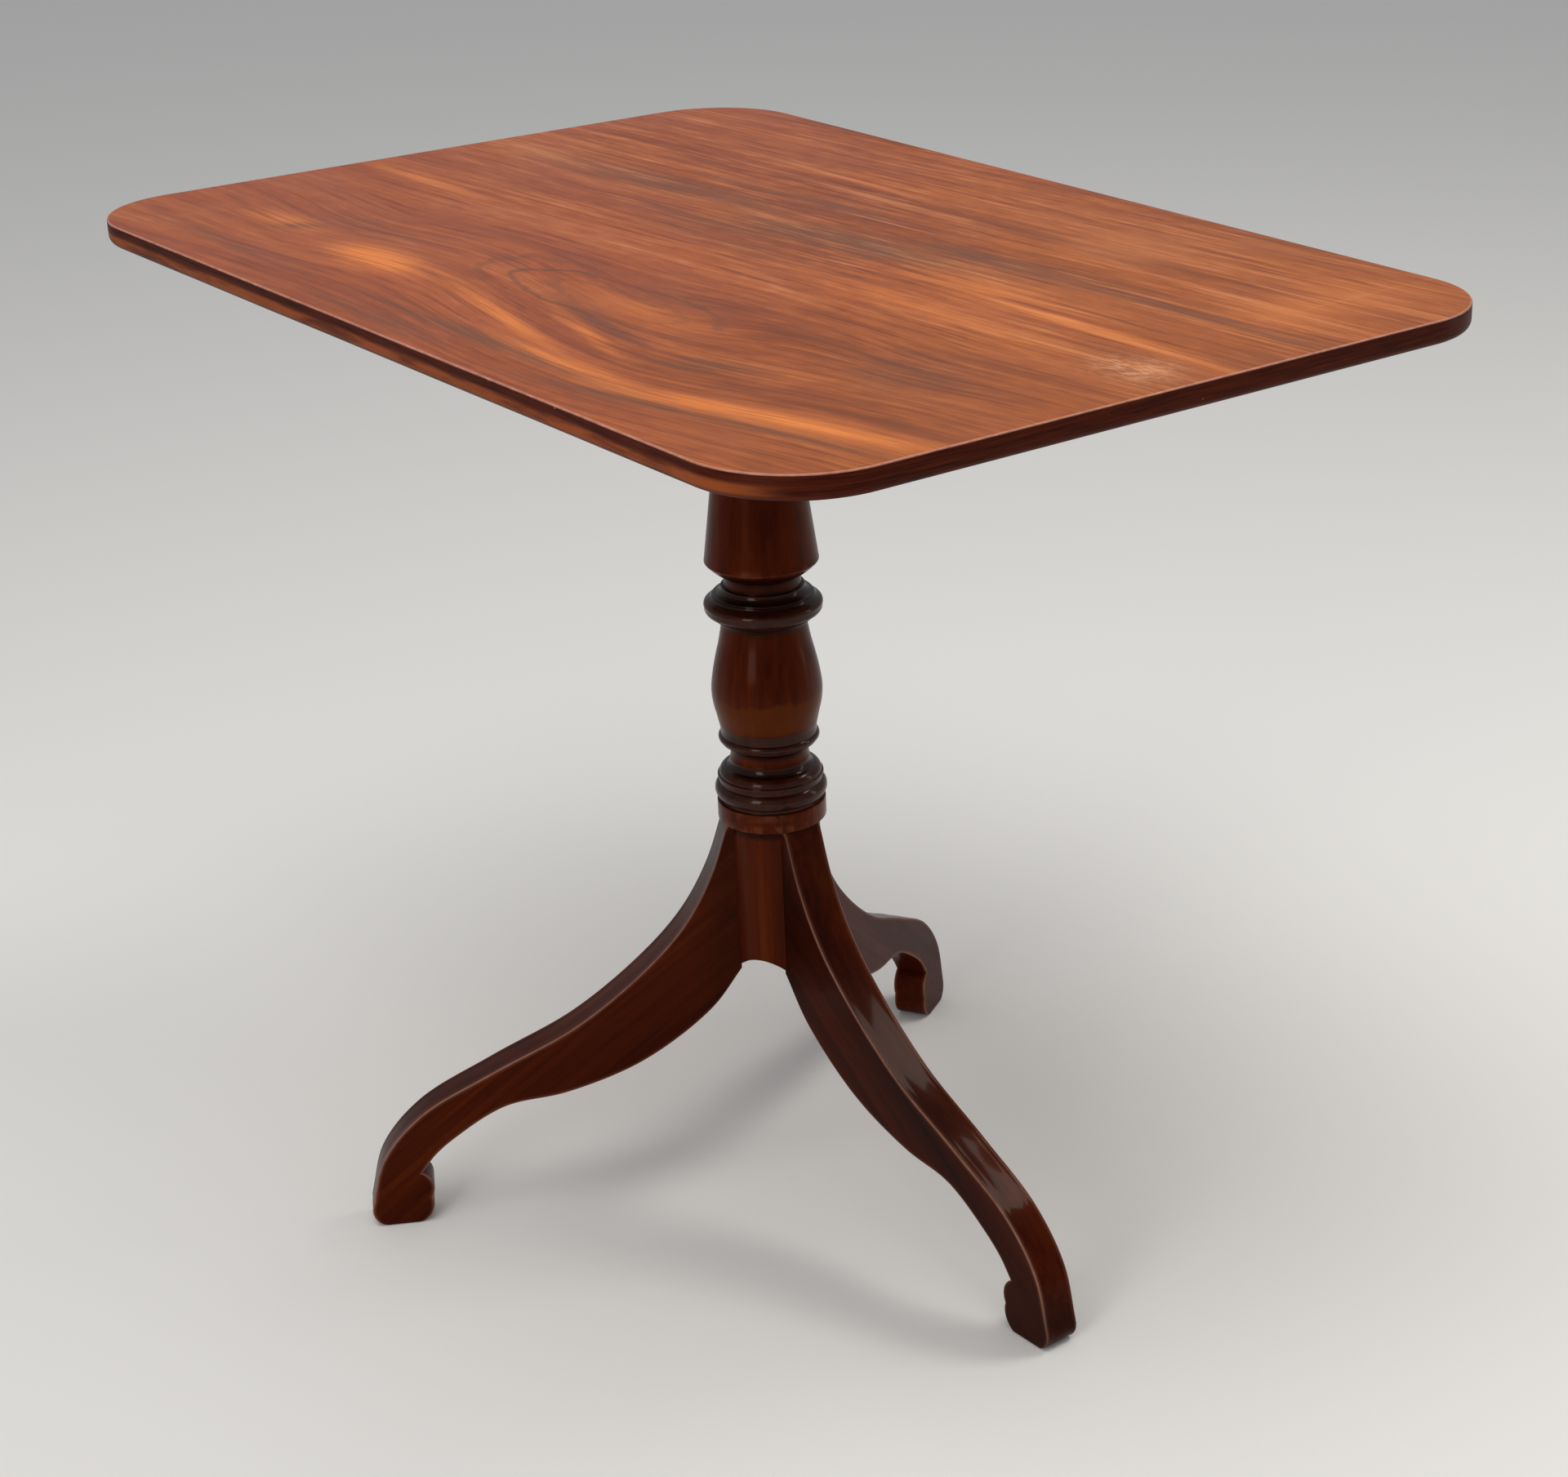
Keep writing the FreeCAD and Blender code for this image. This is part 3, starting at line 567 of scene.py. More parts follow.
def bridge(bm, loops):
    # Quads from each closed loop to the next; the loops have the same number of vertices
    for lower, upper in zip(loops, loops[1:]):
        for i in range(len(lower)):
            j = (i + 1) % len(lower)
            bm.faces.new((lower[i], lower[j], upper[j], upper[i]))


def curveThrough(points, steps):
    # Smooth curve through 2D points, as a list of points
    ends = [points[0] * 2 - points[1]] + points + [points[-1] * 2 - points[-2]]
    line = []
    for i in range(1, len(ends) - 2):
        a, b, c, d = ends[i - 1:i + 3]
        knots = [0.0]
        for start, end in ((a, b), (b, c), (c, d)):
            knots.append(knots[-1] + math.sqrt((end - start).length))
        for step in range(steps):
            t = knots[1] + (knots[2] - knots[1]) * step / steps
            line.append(splinePoint((a, b, c, d), knots, t))
    return line + [points[-1]]


def splinePoint(corners, knots, t):
    # Blends four corners, in three rounds, down to the curve's point at t
    level = corners
    for spans in (((0, 1), (1, 2), (2, 3)), ((0, 2), (1, 3)), ((1, 2),)):
        shares = [(t - knots[low]) / (knots[high] - knots[low]) for low, high in spans]
        level = [level[i] * (1 - share) + level[i + 1] * share for i, share in enumerate(shares)]
    return level[0]


def arcThrough(start, end, bulge, steps):
    # Points of an arc from start to end; its middle lies to the right by bulge of the chord
    chord = end - start
    sagitta = chord.length * bulge
    if abs(sagitta) < 1e-9:
        return [start, end]
    radius = (chord.length ** 2 / 4 + sagitta ** 2) / (2 * sagitta)
    right = Vector((chord.y, -chord.x)).normalized()
    centre = (start + end) / 2 + right * sagitta - right * radius
    sweep = 4 * math.atan(2 * bulge)
    return [centre + Matrix.Rotation(sweep * step / steps, 2) @ (start - centre)
            for step in range(steps + 1)]


def circlePoints(radius, sides, centre=(0, 0)):
    turns = [2 * math.pi * i / sides for i in range(sides)]
    return [(centre[0] + radius * math.cos(turn), centre[1] + radius * math.sin(turn)) for turn in turns]


def roundedOutline(low, high, radius, cornerSteps=6, sideSteps=1):
    # Points round a rectangle with round corners, each with its outward direction
    corners = [(high[0] - radius, high[1] - radius), (low[0] + radius, high[1] - radius),
               (low[0] + radius, low[1] + radius), (high[0] - radius, low[1] + radius)]
    outline = []
    for index, (x, y) in enumerate(corners):
        for step in range(cornerSteps + 1):
            angle = math.radians(90 * index + 90 * step / cornerSteps)
            out = (math.cos(angle), math.sin(angle))
            outline.append((Vector((x + radius * out[0], y + radius * out[1])), Vector(out)))
        begin, out = outline[-1]
        end = Vector(corners[(index + 1) % 4]) + out * radius
        outline += [(begin.lerp(end, step / sideSteps), out) for step in range(1, sideSteps)]
    return outline


topBoardLook = {
    "cornerRadius": 0.072, "cornerSteps": 28, "sideSteps": 60,
    "arris": 0.0011, "arrisSteps": 4, "lowerRound": 0.0050, "lowerSteps": 8,
    "rimWidth": 0.0030, "handWaver": 0.00022, "waverScale": 9.0, "sharpAngle": 50,
}


def edgeProfile(look, thickness):
    # Inset from the outline and height above the underside, from top to bottom
    arris, lower = look["arris"], look["lowerRound"]
    profile = [(arris + look["rimWidth"], thickness)]
    for step in range(look["arrisSteps"] + 1):
        angle = math.pi / 2 * step / look["arrisSteps"]
        profile.append((arris - arris * math.sin(angle), thickness - arris + arris * math.cos(angle)))
    for step in range(look["lowerSteps"] + 1):
        angle = math.pi / 2 * step / look["lowerSteps"]
        profile.append((lower - lower * math.cos(angle), lower - lower * math.sin(angle)))
    profile.append((lower + look["rimWidth"], 0))
    return profile


def makeTopBoard(polished, underside):
    look = topBoardLook
    low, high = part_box("top_board")
    outline = roundedOutline(low, high, look["cornerRadius"], look["cornerSteps"], look["sideSteps"])
    bm = bmesh.new()
    loops = []
    for inset, height in edgeProfile(look, high.z - low.z):
        loop = []
        for place, out in outline:
            sway = noise.noise(place.to_3d() * look["waverScale"])
            point = place - out * (inset + look["handWaver"] * (1 + sway))
            loop.append(bm.verts.new((*point, low.z + height)))
        loops.append(loop)
    loops.reverse()
    bridge(bm, loops)
    bm.faces.new(loops[-1])
    bottom = bm.faces.new(list(reversed(loops[0])))
    bottom.material_index = 1
    mesh = meshFrom("topBoard", bm, math.radians(look["sharpAngle"]))
    mesh.materials.append(polished)
    mesh.materials.append(underside)
    return settle(newObject("topBoard", mesh), "top", "top_board")


pillarLook = {
    "sides": 160, "sharpAngle": 38.0, "arcSteps": 10, "vaseSteps": 6, "edgeRound": 0.45,
    "hollowReach": 5.0,
    # The arches in the foot: rise and reach in millimetres, and half their width in degrees
    "scoopRise": 9.0, "scoopReach": 26.0, "scoopHalf": 33.0, "scoopFullness": 0.8,
    "scoopDish": 0.4,
    # The foot's radius and height in millimetres, then the members from there up: kind, radius
    # and height; an arc also has its bulge, as a share of its chord, and a bead how far it swells
    "foot": (34.0, 190.0),
    "members": [
        ("band", 34.0, 112.5), ("band", 38.9, 14.0), ("band", 36.6, 2.6),
        ("bead", 40.2, 11.2, 2.7), ("band", 37.0, 3.6), ("band", 37.9, 1.9), ("band", 36.6, 1.6),
        ("arc", 31.2, 4.8, 0.16), ("arc", 28.6, 5.6, -0.12), ("arc", 27.9, 6.6, -0.05),
        ("arc", 33.2, 6.0, -0.16), ("band", 34.0, 1.0), ("bead", 36.0, 5.6, 1.6),
        ("band", 34.3, 4.4), ("vase", 30.2, 77.6),
        ("arc", 35.8, 5.8, -0.20), ("band", 35.8, 2.1), ("step", 37.6, 0),
        ("arc", 41.4, 5.2, 0.22), ("arc", 39.4, 5.2, 0.22), ("arc", 35.9, 3.6, -0.11),
        ("band", 35.0, 1.0), ("arc", 29.4, 4.6, -0.18), ("band", 29.4, 1.0),
        ("band", 27.1, 7.6), ("arc", 38.8, 8.8, 0.05), ("arc", 39.9, 2.6, 0.20),
        ("arc", 25.0, 115.0, 0.0), ("band", 29.0, 6.0), ("band", 25.0, 8.0),
        ("arc", 38.0, 29.0, 0.0), ("band", 38.0, 11.2), ("band", 20.0, 27.85),
    ],
    # The vase: share of its height and radius, in millimetres
    "vase": [(0.0, 34.2), (0.12, 36.3), (0.26, 38.7), (0.38, 39.3), (0.52, 38.0), (0.68, 35.5),
             (0.84, 32.5), (1.0, 30.2)],
}


def turningProfile(look):
    # Radius and height of each point, upwards; a sudden step still climbs by a hair
    hair = 0.03
    line = [Vector(look["foot"])]
    for kind, radius, height, *bulge in look["members"]:
        at = line[-1]
        if kind in ("band", "bead", "step"):
            edge = radius - bulge[0] if kind == "bead" else radius
            if abs(edge - at.x) > 1e-6:
                at = Vector((edge, at.y + hair))
                line.append(at)
        end = Vector((at.x if kind == "bead" else radius, at.y + height))
        if kind == "band":
            line.append(end)
        elif kind in ("bead", "arc"):
            swell = bulge[0] / height if kind == "bead" else bulge[0]
            line += arcThrough(at, end, swell, look["arcSteps"])[1:]
        elif kind == "vase":
            points = [Vector((r, at.y + share * height)) for share, r in look["vase"]]
            line += curveThrough(points, look["vaseSteps"])[1:]
    foot = look["foot"][1]
    stretch = sum(member[2] for member in look["members"]) / (line[-1].y - foot)
    return [Vector((p.x, foot + (p.y - foot) * stretch)) for p in line]


def easeEdges(line, reach):
    # Takes the sharpness off each turned edge, and leaves soft bends and hair steps
    sharp, shortest = math.radians(30), 0.5
    eased = [line[0]]
    for before, here, after in zip(line, line[1:], line[2:]):
        back, forward = before - here, after - here
        turn = math.pi - back.angle(forward, math.pi)
        if turn > sharp and min(back.length, forward.length) > shortest:
            cut = min(reach, back.length / 3, forward.length / 3)
            start, end = here + back.normalized() * cut, here + forward.normalized() * cut
            eased += [start, (start + end) / 4 + here / 2, end]
        else:
            eased.append(here)
    return eased + [line[-1]]


def turningLine(look):
    # Polyline on the Z axis that carries the turning's radius at each point
    leastClimb, longestPart = 0.004, 4.0
    line = easeEdges(turningProfile(look), look["edgeRound"])
    rising = [line[0]]
    for point in line[1:]:
        rising.append(Vector((point.x, max(point.y, rising[-1].y + leastClimb))))
    dense = [rising[0]]
    for start, end in zip(rising, rising[1:]):
        parts = max(1, math.ceil((end.y - start.y) / longestPart))
        dense += [start.lerp(end, i / parts) for i in range(1, parts + 1)]
    mesh = bpy.data.meshes.new("turningLine")
    mesh.from_pydata([(0, 0, p.y * mm) for p in dense], [(i, i + 1) for i in range(len(dense) - 1)], [])
    hollow, proud = hollowAndProud(dense, look["hollowReach"])
    radii = [p.x * mm for p in dense]
    for name, numbers in (("turnRadius", radii), ("hollow", hollow), ("proud", proud)):
        mesh.attributes.new(name, "FLOAT", "POINT").data.foreach_set("value", numbers)
    return newObject("turningLine", mesh)


def hollowAndProud(line, reach):
    # How deep each point lies below its neighbours' radius, and how far it stands out, 0 to 1
    slack, deepest, tallest = 0.9, 3.2, 1.6
    hollow, proud = [], []
    for here in line:
        near = [p.x for p in line if abs(p.y - here.y) < reach]
        hollow.append(min(1, max(0, (max(near) - here.x - slack) / deepest)))
        proud.append(min(1, max(0, (here.x - sum(near) / len(near)) / tallest)))
    return hollow, proud


def newTree(name, inputs):
    # A modifier tree with a geometry input and the named ones
    tree = bpy.data.node_groups.new(name, "GeometryNodeTree")
    tree.is_modifier = True
    g = Graph(tree)
    sockets = [("Geometry", "NodeSocketGeometry", None)] + inputs
    for label, kind, value in sockets:
        socket = tree.interface.new_socket(label, in_out="INPUT", socket_type=kind)
        if value is not None:
            socket.default_value = value
    tree.interface.new_socket("Geometry", in_out="OUTPUT", socket_type="NodeSocketGeometry")
    source = g.put("NodeGroupInput")
    given = {socket.name: Wire(g, socket) for socket in source.outputs if socket.name}
    return tree, g, given


def closeTree(g, geometry, material):
    real = g.add("GeometryNodeRealizeInstances", None, {"Geometry": geometry})
    painted = g.add("GeometryNodeSetMaterial", None, {"Geometry": real, "Material": material})
    g.put("NodeGroupOutput", None, {"Geometry": painted})


def turningTree():
    inputs = [("Sides", "NodeSocketInt", 96), ("Sharp Angle", "NodeSocketFloat", 0.6),
              ("Finish", "NodeSocketMaterial", None)]
    tree, g, given = newTree("turning", inputs)
    spine = g.add("GeometryNodeMeshToCurve", None, {"Mesh": given["Geometry"]})
    radius = g.add("GeometryNodeInputNamedAttribute", {"data_type": "FLOAT"}, {"Name": "turnRadius"})
    circle = g.add("GeometryNodeCurvePrimitiveCircle", None,
                   {"Resolution": given["Sides"], "Radius": 1.0})
    body = g.add("GeometryNodeCurveToMesh", None,
                 {"Curve": spine, "Profile Curve": circle, "Scale": radius, "Fill Caps": True})
    body = g.add("GeometryNodeSetShadeSmooth", {"domain": "FACE"},
                 {"Geometry": body, "Shade Smooth": True})
    angle = g.add("GeometryNodeInputMeshEdgeAngle")
    sharp = g.add("FunctionNodeCompare", {"data_type": "FLOAT", "operation": "GREATER_THAN"},
                  {0: angle, 1: given["Sharp Angle"]})
    body = g.add("GeometryNodeSetShadeSmooth", {"domain": "EDGE"},
                 {"Geometry": body, "Selection": sharp, "Shade Smooth": False})
    closeTree(g, body, given["Finish"])
    return tree


def runTree(holder, tree, values):
    # Sets the tree's inputs, evaluates it once and leaves a plain mesh object
    modifier = holder.modifiers.new(tree.name, "NODES")
    modifier.node_group = tree
    for item in tree.interface.items_tree:
        if item.in_out == "INPUT" and item.name in values:
            modifier[item.identifier] = values[item.name]
    holder.update_tag()
    return bakeModifiers(holder)


def scoopFoot(bm, look):
    # Carves an arch into the pillar's end between each two legs, and hollows the end
    end = look["foot"][1] * mm
    reach, rise = look["scoopReach"] * mm, look["scoopRise"] * mm
    caps = [face for face in bm.faces
            if len(face.verts) > 4 and face.calc_center_median().z < end + mm]
    rim = [edge for cap in caps for edge in cap.edges]
    bmesh.ops.delete(bm, geom=caps, context="FACES_ONLY")
    for vertex in bm.verts:
        if vertex.co.z < end + reach:
            angle = math.degrees(math.atan2(vertex.co.y, vertex.co.x)) - legShape["turn"]
            off = abs((angle % 120) - 60) / look["scoopHalf"]
            arch = math.cos(math.pi / 2 * min(off, 1)) ** look["scoopFullness"]
            vertex.co.z += rise * arch * (1 - (vertex.co.z - end) / reach)
    middle = bm.verts.new((0, 0, end + rise * look["scoopDish"]))
    for edge in rim:
        bm.faces.new((edge.verts[0], edge.verts[1], middle)).smooth = True
        edge.smooth = False


def turnPiece(name, look, tree, material, axis, body, node):
    values = {"Sides": look["sides"], "Sharp Angle": math.radians(look["sharpAngle"]),
              "Finish": material}
    mesh = runTree(turningLine(look), tree, values)
    mesh.transform(Matrix.Translation((*axis, 0)))
    bm = openMesh(mesh)
    if "scoopRise" in look:
        scoopFoot(bm, look)
    bmesh.ops.recalc_face_normals(bm, faces=bm.faces)
    return settle(newObject(name, closeMesh(bm, mesh)), body, node)


legShape = {
    "turn": 1.5, "angles": {"leg_right": 0, "leg_back": 120, "leg_left": 240},
    "rootWidth": 32.0, "footWidth": 27.0, "arris": 1.3, "crown": 0.5,
    "spanStations": 84, "footStations": 18, "curveSteps": 12, "arcSteps": 8, "bend": 0.22,
    "sharpAngle": 48,
    "figureShift": 0.01,  # metres between two legs' figure, for each degree that they are apart
    # In millimetres: upper outline from the collar to the toe, and underside from the pillar to the notch
    "upper": [(29.0, 302.4), (34.6, 302.4), (48.1, 262.9), (68.0, 227.1), (97.9, 193.9),
              (152.0, 151.5), (215.0, 120.0), (269.4, 90.0), (299.1, 56.1), (311.0, 16.0)],
    "under": [(29.0, 187.0), (53.0, 155.5), (104.9, 118.0), (161.0, 98.0), (207.9, 90.8),
              (244.6, 69.6), (261.6, 55.6), (272.6, 41.5)],
    "toePad": (301.5, 0.0), "scrollBack": (266.6, 21.0), "scrollPad": (277.4, 0.0),
    "padRound": 1.2,
}


def alongLine(line, share):
    # The point at a share of a polyline's length
    lengths = [(b - a).length for a, b in zip(line, line[1:])]
    left = share * sum(lengths)
    for start, end, length in zip(line, line[1:], lengths):
        if left <= length:
            return start.lerp(end, left / length)
        left -= length
    return line[-1].copy()


def atHeight(line, height):
    # The point where a falling polyline passes a height
    for start, end in zip(line, line[1:]):
        if start.y >= height >= end.y and start.y > end.y:
            return start.lerp(end, (start.y - height) / (start.y - end.y))
    return line[-1].copy()


def legStations(shape):
    # Pairs of points across the leg, from the pillar to the pad
    bend, arcSteps, curveSteps = shape["bend"], shape["arcSteps"], shape["curveSteps"]
    toePad, scrollBack, scrollPad = (Vector(shape[name]) for name in ("toePad", "scrollBack", "scrollPad"))
    upper = [Vector(p) for p in shape["upper"]]
    toe = arcThrough(upper[-1], toePad, -bend, arcSteps)
    outer = upper[:1] + curveThrough(upper[1:], curveSteps) + toe[1:]
    under = curveThrough([Vector(p) for p in shape["under"]], curveSteps)
    notch = under[-1]
    scroll = arcThrough(notch, scrollBack, bend, arcSteps)
    scroll += arcThrough(scrollBack, scrollPad, bend, arcSteps)[1:]
    knee = atHeight(outer[2:], notch.y)
    span = [p for p in outer if p.y > notch.y] + [knee]
    pairs = []
    for i in range(shape["spanStations"]):
        share = i / shape["spanStations"]
        pairs.append((alongLine(under, share), alongLine(span, share)))
    for i in range(shape["footStations"] + 1):
        height = notch.y * (1 + math.cos(math.pi * i / shape["footStations"])) / 2
        pairs.append((atHeight(scroll, height), atHeight(outer[2:], height)))
    return pairs


def sectionRing(inner, outer, half, corner, crown):
    # A section with rounded corners: place along the leg, width, and how much it is an arris
    way = (outer - inner).normalized()
    length = (outer - inner).length
    corner = min(corner, length / 4)
    near = corner * 1.5
    low, high = corner, length - corner
    side = half - corner
    ring = []
    corners = ((low, -side, 180), (high, -side, 270), (high, side, 0), (low, side, 90))
    for along, across, start in corners:
        for step, arris in enumerate((0.25, 1.0, 1.0, 0.25)):
            angle = math.radians(start + 30 * step)
            ring.append((along + corner * math.cos(angle), across + corner * math.sin(angle), arris))
        if start == 180:
            ring += [(low + near, -half, 0.0), (length / 2, -half, 0.0), (high - near, -half, 0.0)]
        elif start == 270:
            ring += [(length - crown * share * share, share * side, 0.0)
                     for share in (-0.84, -0.5, 0.0, 0.5, 0.84)]
        elif start == 0:
            ring += [(high - near, half, 0.0), (length / 2, half, 0.0), (low + near, half, 0.0)]
        else:
            ring += [(0.0, side - near, 0.0), (0.0, 0.0, 0.0), (0.0, near - side, 0.0)]
    return [(inner + way * along, across, arris) for along, across, arris in ring]


def makeLeg(name, node, angle, material):
    shape = legShape
    last = shape["upper"][-1][0]
    turn = Matrix.Rotation(math.radians(shape["turn"] + angle), 3, "Z")
    bm = bmesh.new()
    placeLayer = bm.verts.layers.float_vector.new("legPlace")
    arrisLayer = bm.verts.layers.float.new("arris")
    loops = []
    for inner, outer in legStations(shape):
        middle = (inner.x + outer.x) / 2
        half = (shape["rootWidth"] + (shape["footWidth"] - shape["rootWidth"]) * middle / last) / 2
        if outer.y < shape["padRound"]:
            half -= shape["padRound"] - outer.y
        loop = []
        for place, side, arris in sectionRing(inner, outer, half, shape["arris"], shape["crown"]):
            local = Vector((place.x, side, place.y)) * mm
            vertex = bm.verts.new(turn @ local)
            vertex[placeLayer] = local + Vector((0, 0, angle * shape["figureShift"]))
            vertex[arrisLayer] = arris
            loop.append(vertex)
        loops.append(loop)
    bridge(bm, loops)
    bm.faces.new(list(reversed(loops[0])))
    bm.faces.new(loops[-1])
    mesh = meshFrom(name, bm, math.radians(shape["sharpAngle"]))
    mesh.materials.append(material)
    return settle(newObject(name, mesh), "stand", node)


screwLook = {
    # In millimetres: radii of head and shank, depth of the sunk head, length, and the slot's width
    "bearer": {"head": 4.6, "sink": 2.8, "shank": 2.3, "length": 22.0, "slot": 0.9, "seed": 4},
    "catch": {"head": 2.8, "sink": 1.5, "shank": 1.4, "length": 9.0, "slot": 0.6, "seed": 9},
    "sides": 40, "slotDepth": 0.35, "lip": 0.15, "tip": 0.4, "sharpAngle": 35,
}


def screwMesh(look):
    # Slotted countersunk head up at height 0, blunt shank below, in metres
    tip, depth = screwLook["tip"], look["sink"] * screwLook["slotDepth"]
    bm = bmesh.new()
    rings = [(look["shank"] - tip, -look["length"]), (look["shank"], -look["length"] + tip),
             (look["shank"], -look["sink"]), (look["head"], -screwLook["lip"]), (look["head"], 0.0)]
    loops = [[bm.verts.new((x, y, height)) for x, y in circlePoints(radius, screwLook["sides"])]
             for radius, height in rings]
    bridge(bm, loops)
    bm.faces.new(list(reversed(loops[0])))
    bm.faces.new(loops[-1])
    bmesh.ops.recalc_face_normals(bm, faces=bm.faces)
    holder = newObject("screwBody", closeMesh(bm, bpy.data.meshes.new("screwBody")))
    cutter = bmesh.new()
    bmesh.ops.create_cube(cutter, size=1)
    bmesh.ops.scale(cutter, vec=(look["head"] * 3, look["slot"], depth * 2), verts=cutter.verts)
    tool = newObject("screwSlot", closeMesh(cutter, bpy.data.meshes.new("screwSlot")))
    cut = holder.modifiers.new("slot", "BOOLEAN")
    cut.object = tool
    cut.operation = "DIFFERENCE"
    mesh = bakeModifiers(holder)
    bpy.data.objects.remove(tool)
    mesh.transform(Matrix.Scale(mm, 4))
    mesh.set_sharp_from_angle(angle=math.radians(screwLook["sharpAngle"]))
    return mesh


def screwTree():
    inputs = [("Screw", "NodeSocketObject", None), ("Facing", "NodeSocketVector", None),
              ("Seed", "NodeSocketInt", 1), ("Finish", "NodeSocketMaterial", None)]
    tree, g, given = newTree("screwSet", inputs)
    screw = g.put("GeometryNodeObjectInfo", None, {"Object": given["Screw"]})
    spin = g.put("FunctionNodeRandomValue", {"data_type": "FLOAT"},
                 {"Min_001": 0.0, "Max_001": math.pi, "Seed": given["Seed"]})
    spinOut = next(s for s in spin.outputs if s.enabled and s.type == "VALUE")
    turn = g.add("FunctionNodeAxisAngleToRotation", None,
                 {"Axis": (0, 0, 1), "Angle": Wire(g, spinOut)})
    facing = g.add("FunctionNodeEulerToRotation", None, {"Euler": given["Facing"]})
    whole = g.add("FunctionNodeRotateRotation", {"rotation_space": "LOCAL"},
                  {"Rotation": facing, "Rotate By": turn})
    placed = g.add("GeometryNodeInstanceOnPoints", None,
                   {"Points": given["Geometry"], "Instance": Wire(g, screw.outputs["Geometry"]),
                    "Rotation": whole})
    closeTree(g, placed, given["Finish"])
    return tree


def makeScrews(name, look, places, facing, tree, material, body, node):
    screw = newObject("screwModel", screwMesh(look))
    points = bpy.data.meshes.new(name)
    points.from_pydata(places, [], [])
    values = {"Screw": screw, "Facing": facing, "Seed": look["seed"], "Finish": material}
    mesh = runTree(newObject(name, points), tree, values)
    bpy.data.objects.remove(screw)
    return settle(newObject(name, mesh), body, node)


def headPlaces(node, axis):
    # Middle of each loose screw of a node, at its head, in the same order at every run
    bm = openMesh(nodes[node].data)
    bmesh.ops.remove_doubles(bm, verts=bm.verts, dist=1e-6)
    left = set(bm.verts)
    places = []
    while left:
        island, queue = set(), [left.pop()]
        while queue:
            vertex = queue.pop()
            island.add(vertex)
            for edge in vertex.link_edges:
                other = edge.other_vert(vertex)
                if other in left:
                    left.discard(other)
                    queue.append(other)
        spans = [(min(v.co[k] for v in island), max(v.co[k] for v in island)) for k in range(3)]
        middle = [sum(span) / 2 for span in spans]
        middle[axis] = spans[axis][0]
        places.append(tuple(middle))
    bm.free()
    return sorted(places)


# The bearers, the block and the catch, in metres
bearerLook = {"flat": 0.230, "tipDepth": 0.015, "tipRound": 0.006, "tipSteps": 5, "bevel": 0.0014,
              "pocketRadius": 0.006}

blockLook = {"bevel": 0.0012, "noseSteps": 16, "boreRadius": 0.0201, "boreSides": 96,
             "pocketDepth": 0.009}

catchLook = {"plateCorner": 0.004, "plateBevel": 0.0003, "holeRadius": 0.0029,
             "caseCorner": 0.0025, "caseBevel": 0.0006, "wall": 0.0016, "slotHalf": 0.0021,
             "travel": 0.008, "mouthGap": 0.0003, "mouthReach": 0.002, "boltNose": 0.004,
             "boltBevel": 0.0003, "keeperCorner": 0.002, "keeperGap": 0.0005}

# How every sawn or filed piece is finished; a cut runs past the face that it opens by the overrun
joinery = {"overrun": 0.01, "cutSides": 48, "bevelSegments": 3, "bevelAngle": 35, "sharpAngle": 32}

knobLook = {
    # Turned as the pillar is, from the same kinds of member
    "sides": 64, "sharpAngle": 40.0, "arcSteps": 8, "edgeRound": 0.15, "hollowReach": 1.0,
    "foot": (0.3, 673.5),
    "members": [("arc", 4.6, 0.7, 0.05), ("arc", 6.0, 1.5, 0.16), ("arc", 5.2, 1.3, 0.18),
                ("arc", 2.3, 1.7, -0.16), ("band", 2.3, 0.6), ("band", 1.8, 7.5)],
}


def toPlace(plane, u, v, w):
    # The outline's plane: YZ is drawn out along X, XZ along Y and XY along Z
    return {"YZ": (w, u, v), "XZ": (u, w, v), "XY": (u, v, w)}[plane]


def prismMesh(name, outline, plane, start, end):
    bm = bmesh.new()
    low, high = ([bm.verts.new(toPlace(plane, u, v, w)) for u, v in outline] for w in (start, end))
    bridge(bm, [low, high])
    bm.faces.new(list(reversed(low)))
    bm.faces.new(high)
    bmesh.ops.recalc_face_normals(bm, faces=bm.faces)
    return closeMesh(bm, bpy.data.meshes.new(name))


def boxCut(low, high):
    outline = [(low[0], low[1]), (high[0], low[1]), (high[0], high[1]), (low[0], high[1])]
    return newObject("cut", prismMesh("cut", outline, "XY", low[2], high[2]))


def roundCut(centre, radius, plane, start, end, sides=joinery["cutSides"]):
    outline = circlePoints(radius, sides, centre)
    return newObject("cut", prismMesh("cut", outline, plane, start, end))


def shapedPiece(name, outline, plane, start, end, bevel, cuts, material, body, node):
    # A prism with eased edges, then its holes
    holder = newObject(name, prismMesh(name, outline, plane, start, end))
    ease = holder.modifiers.new("ease", "BEVEL")
    ease.width = bevel
    ease.segments = joinery["bevelSegments"]
    ease.limit_method = "ANGLE"
    ease.angle_limit = math.radians(joinery["bevelAngle"])
    for cut in cuts:
        hole = holder.modifiers.new("hole", "BOOLEAN")
        hole.object = cut
        hole.operation = "DIFFERENCE"
    mesh = bakeModifiers(holder)
    for cut in cuts:
        bpy.data.objects.remove(cut)
    mesh.shade_smooth()
    mesh.set_sharp_from_angle(angle=math.radians(joinery["sharpAngle"]))
    mesh.materials.clear()
    mesh.materials.append(material)
    return settle(newObject(name, mesh), body, node)


def platePiece(name, low, high, corner, bevel, cuts, material, body, node):
    # A brass plate or case that lies flat, with round corners
    outline = [place for place, _ in roundedOutline(low, high, corner)]
    return shapedPiece(name, outline, "XY", low.z, high.z, bevel, cuts, material, body, node)


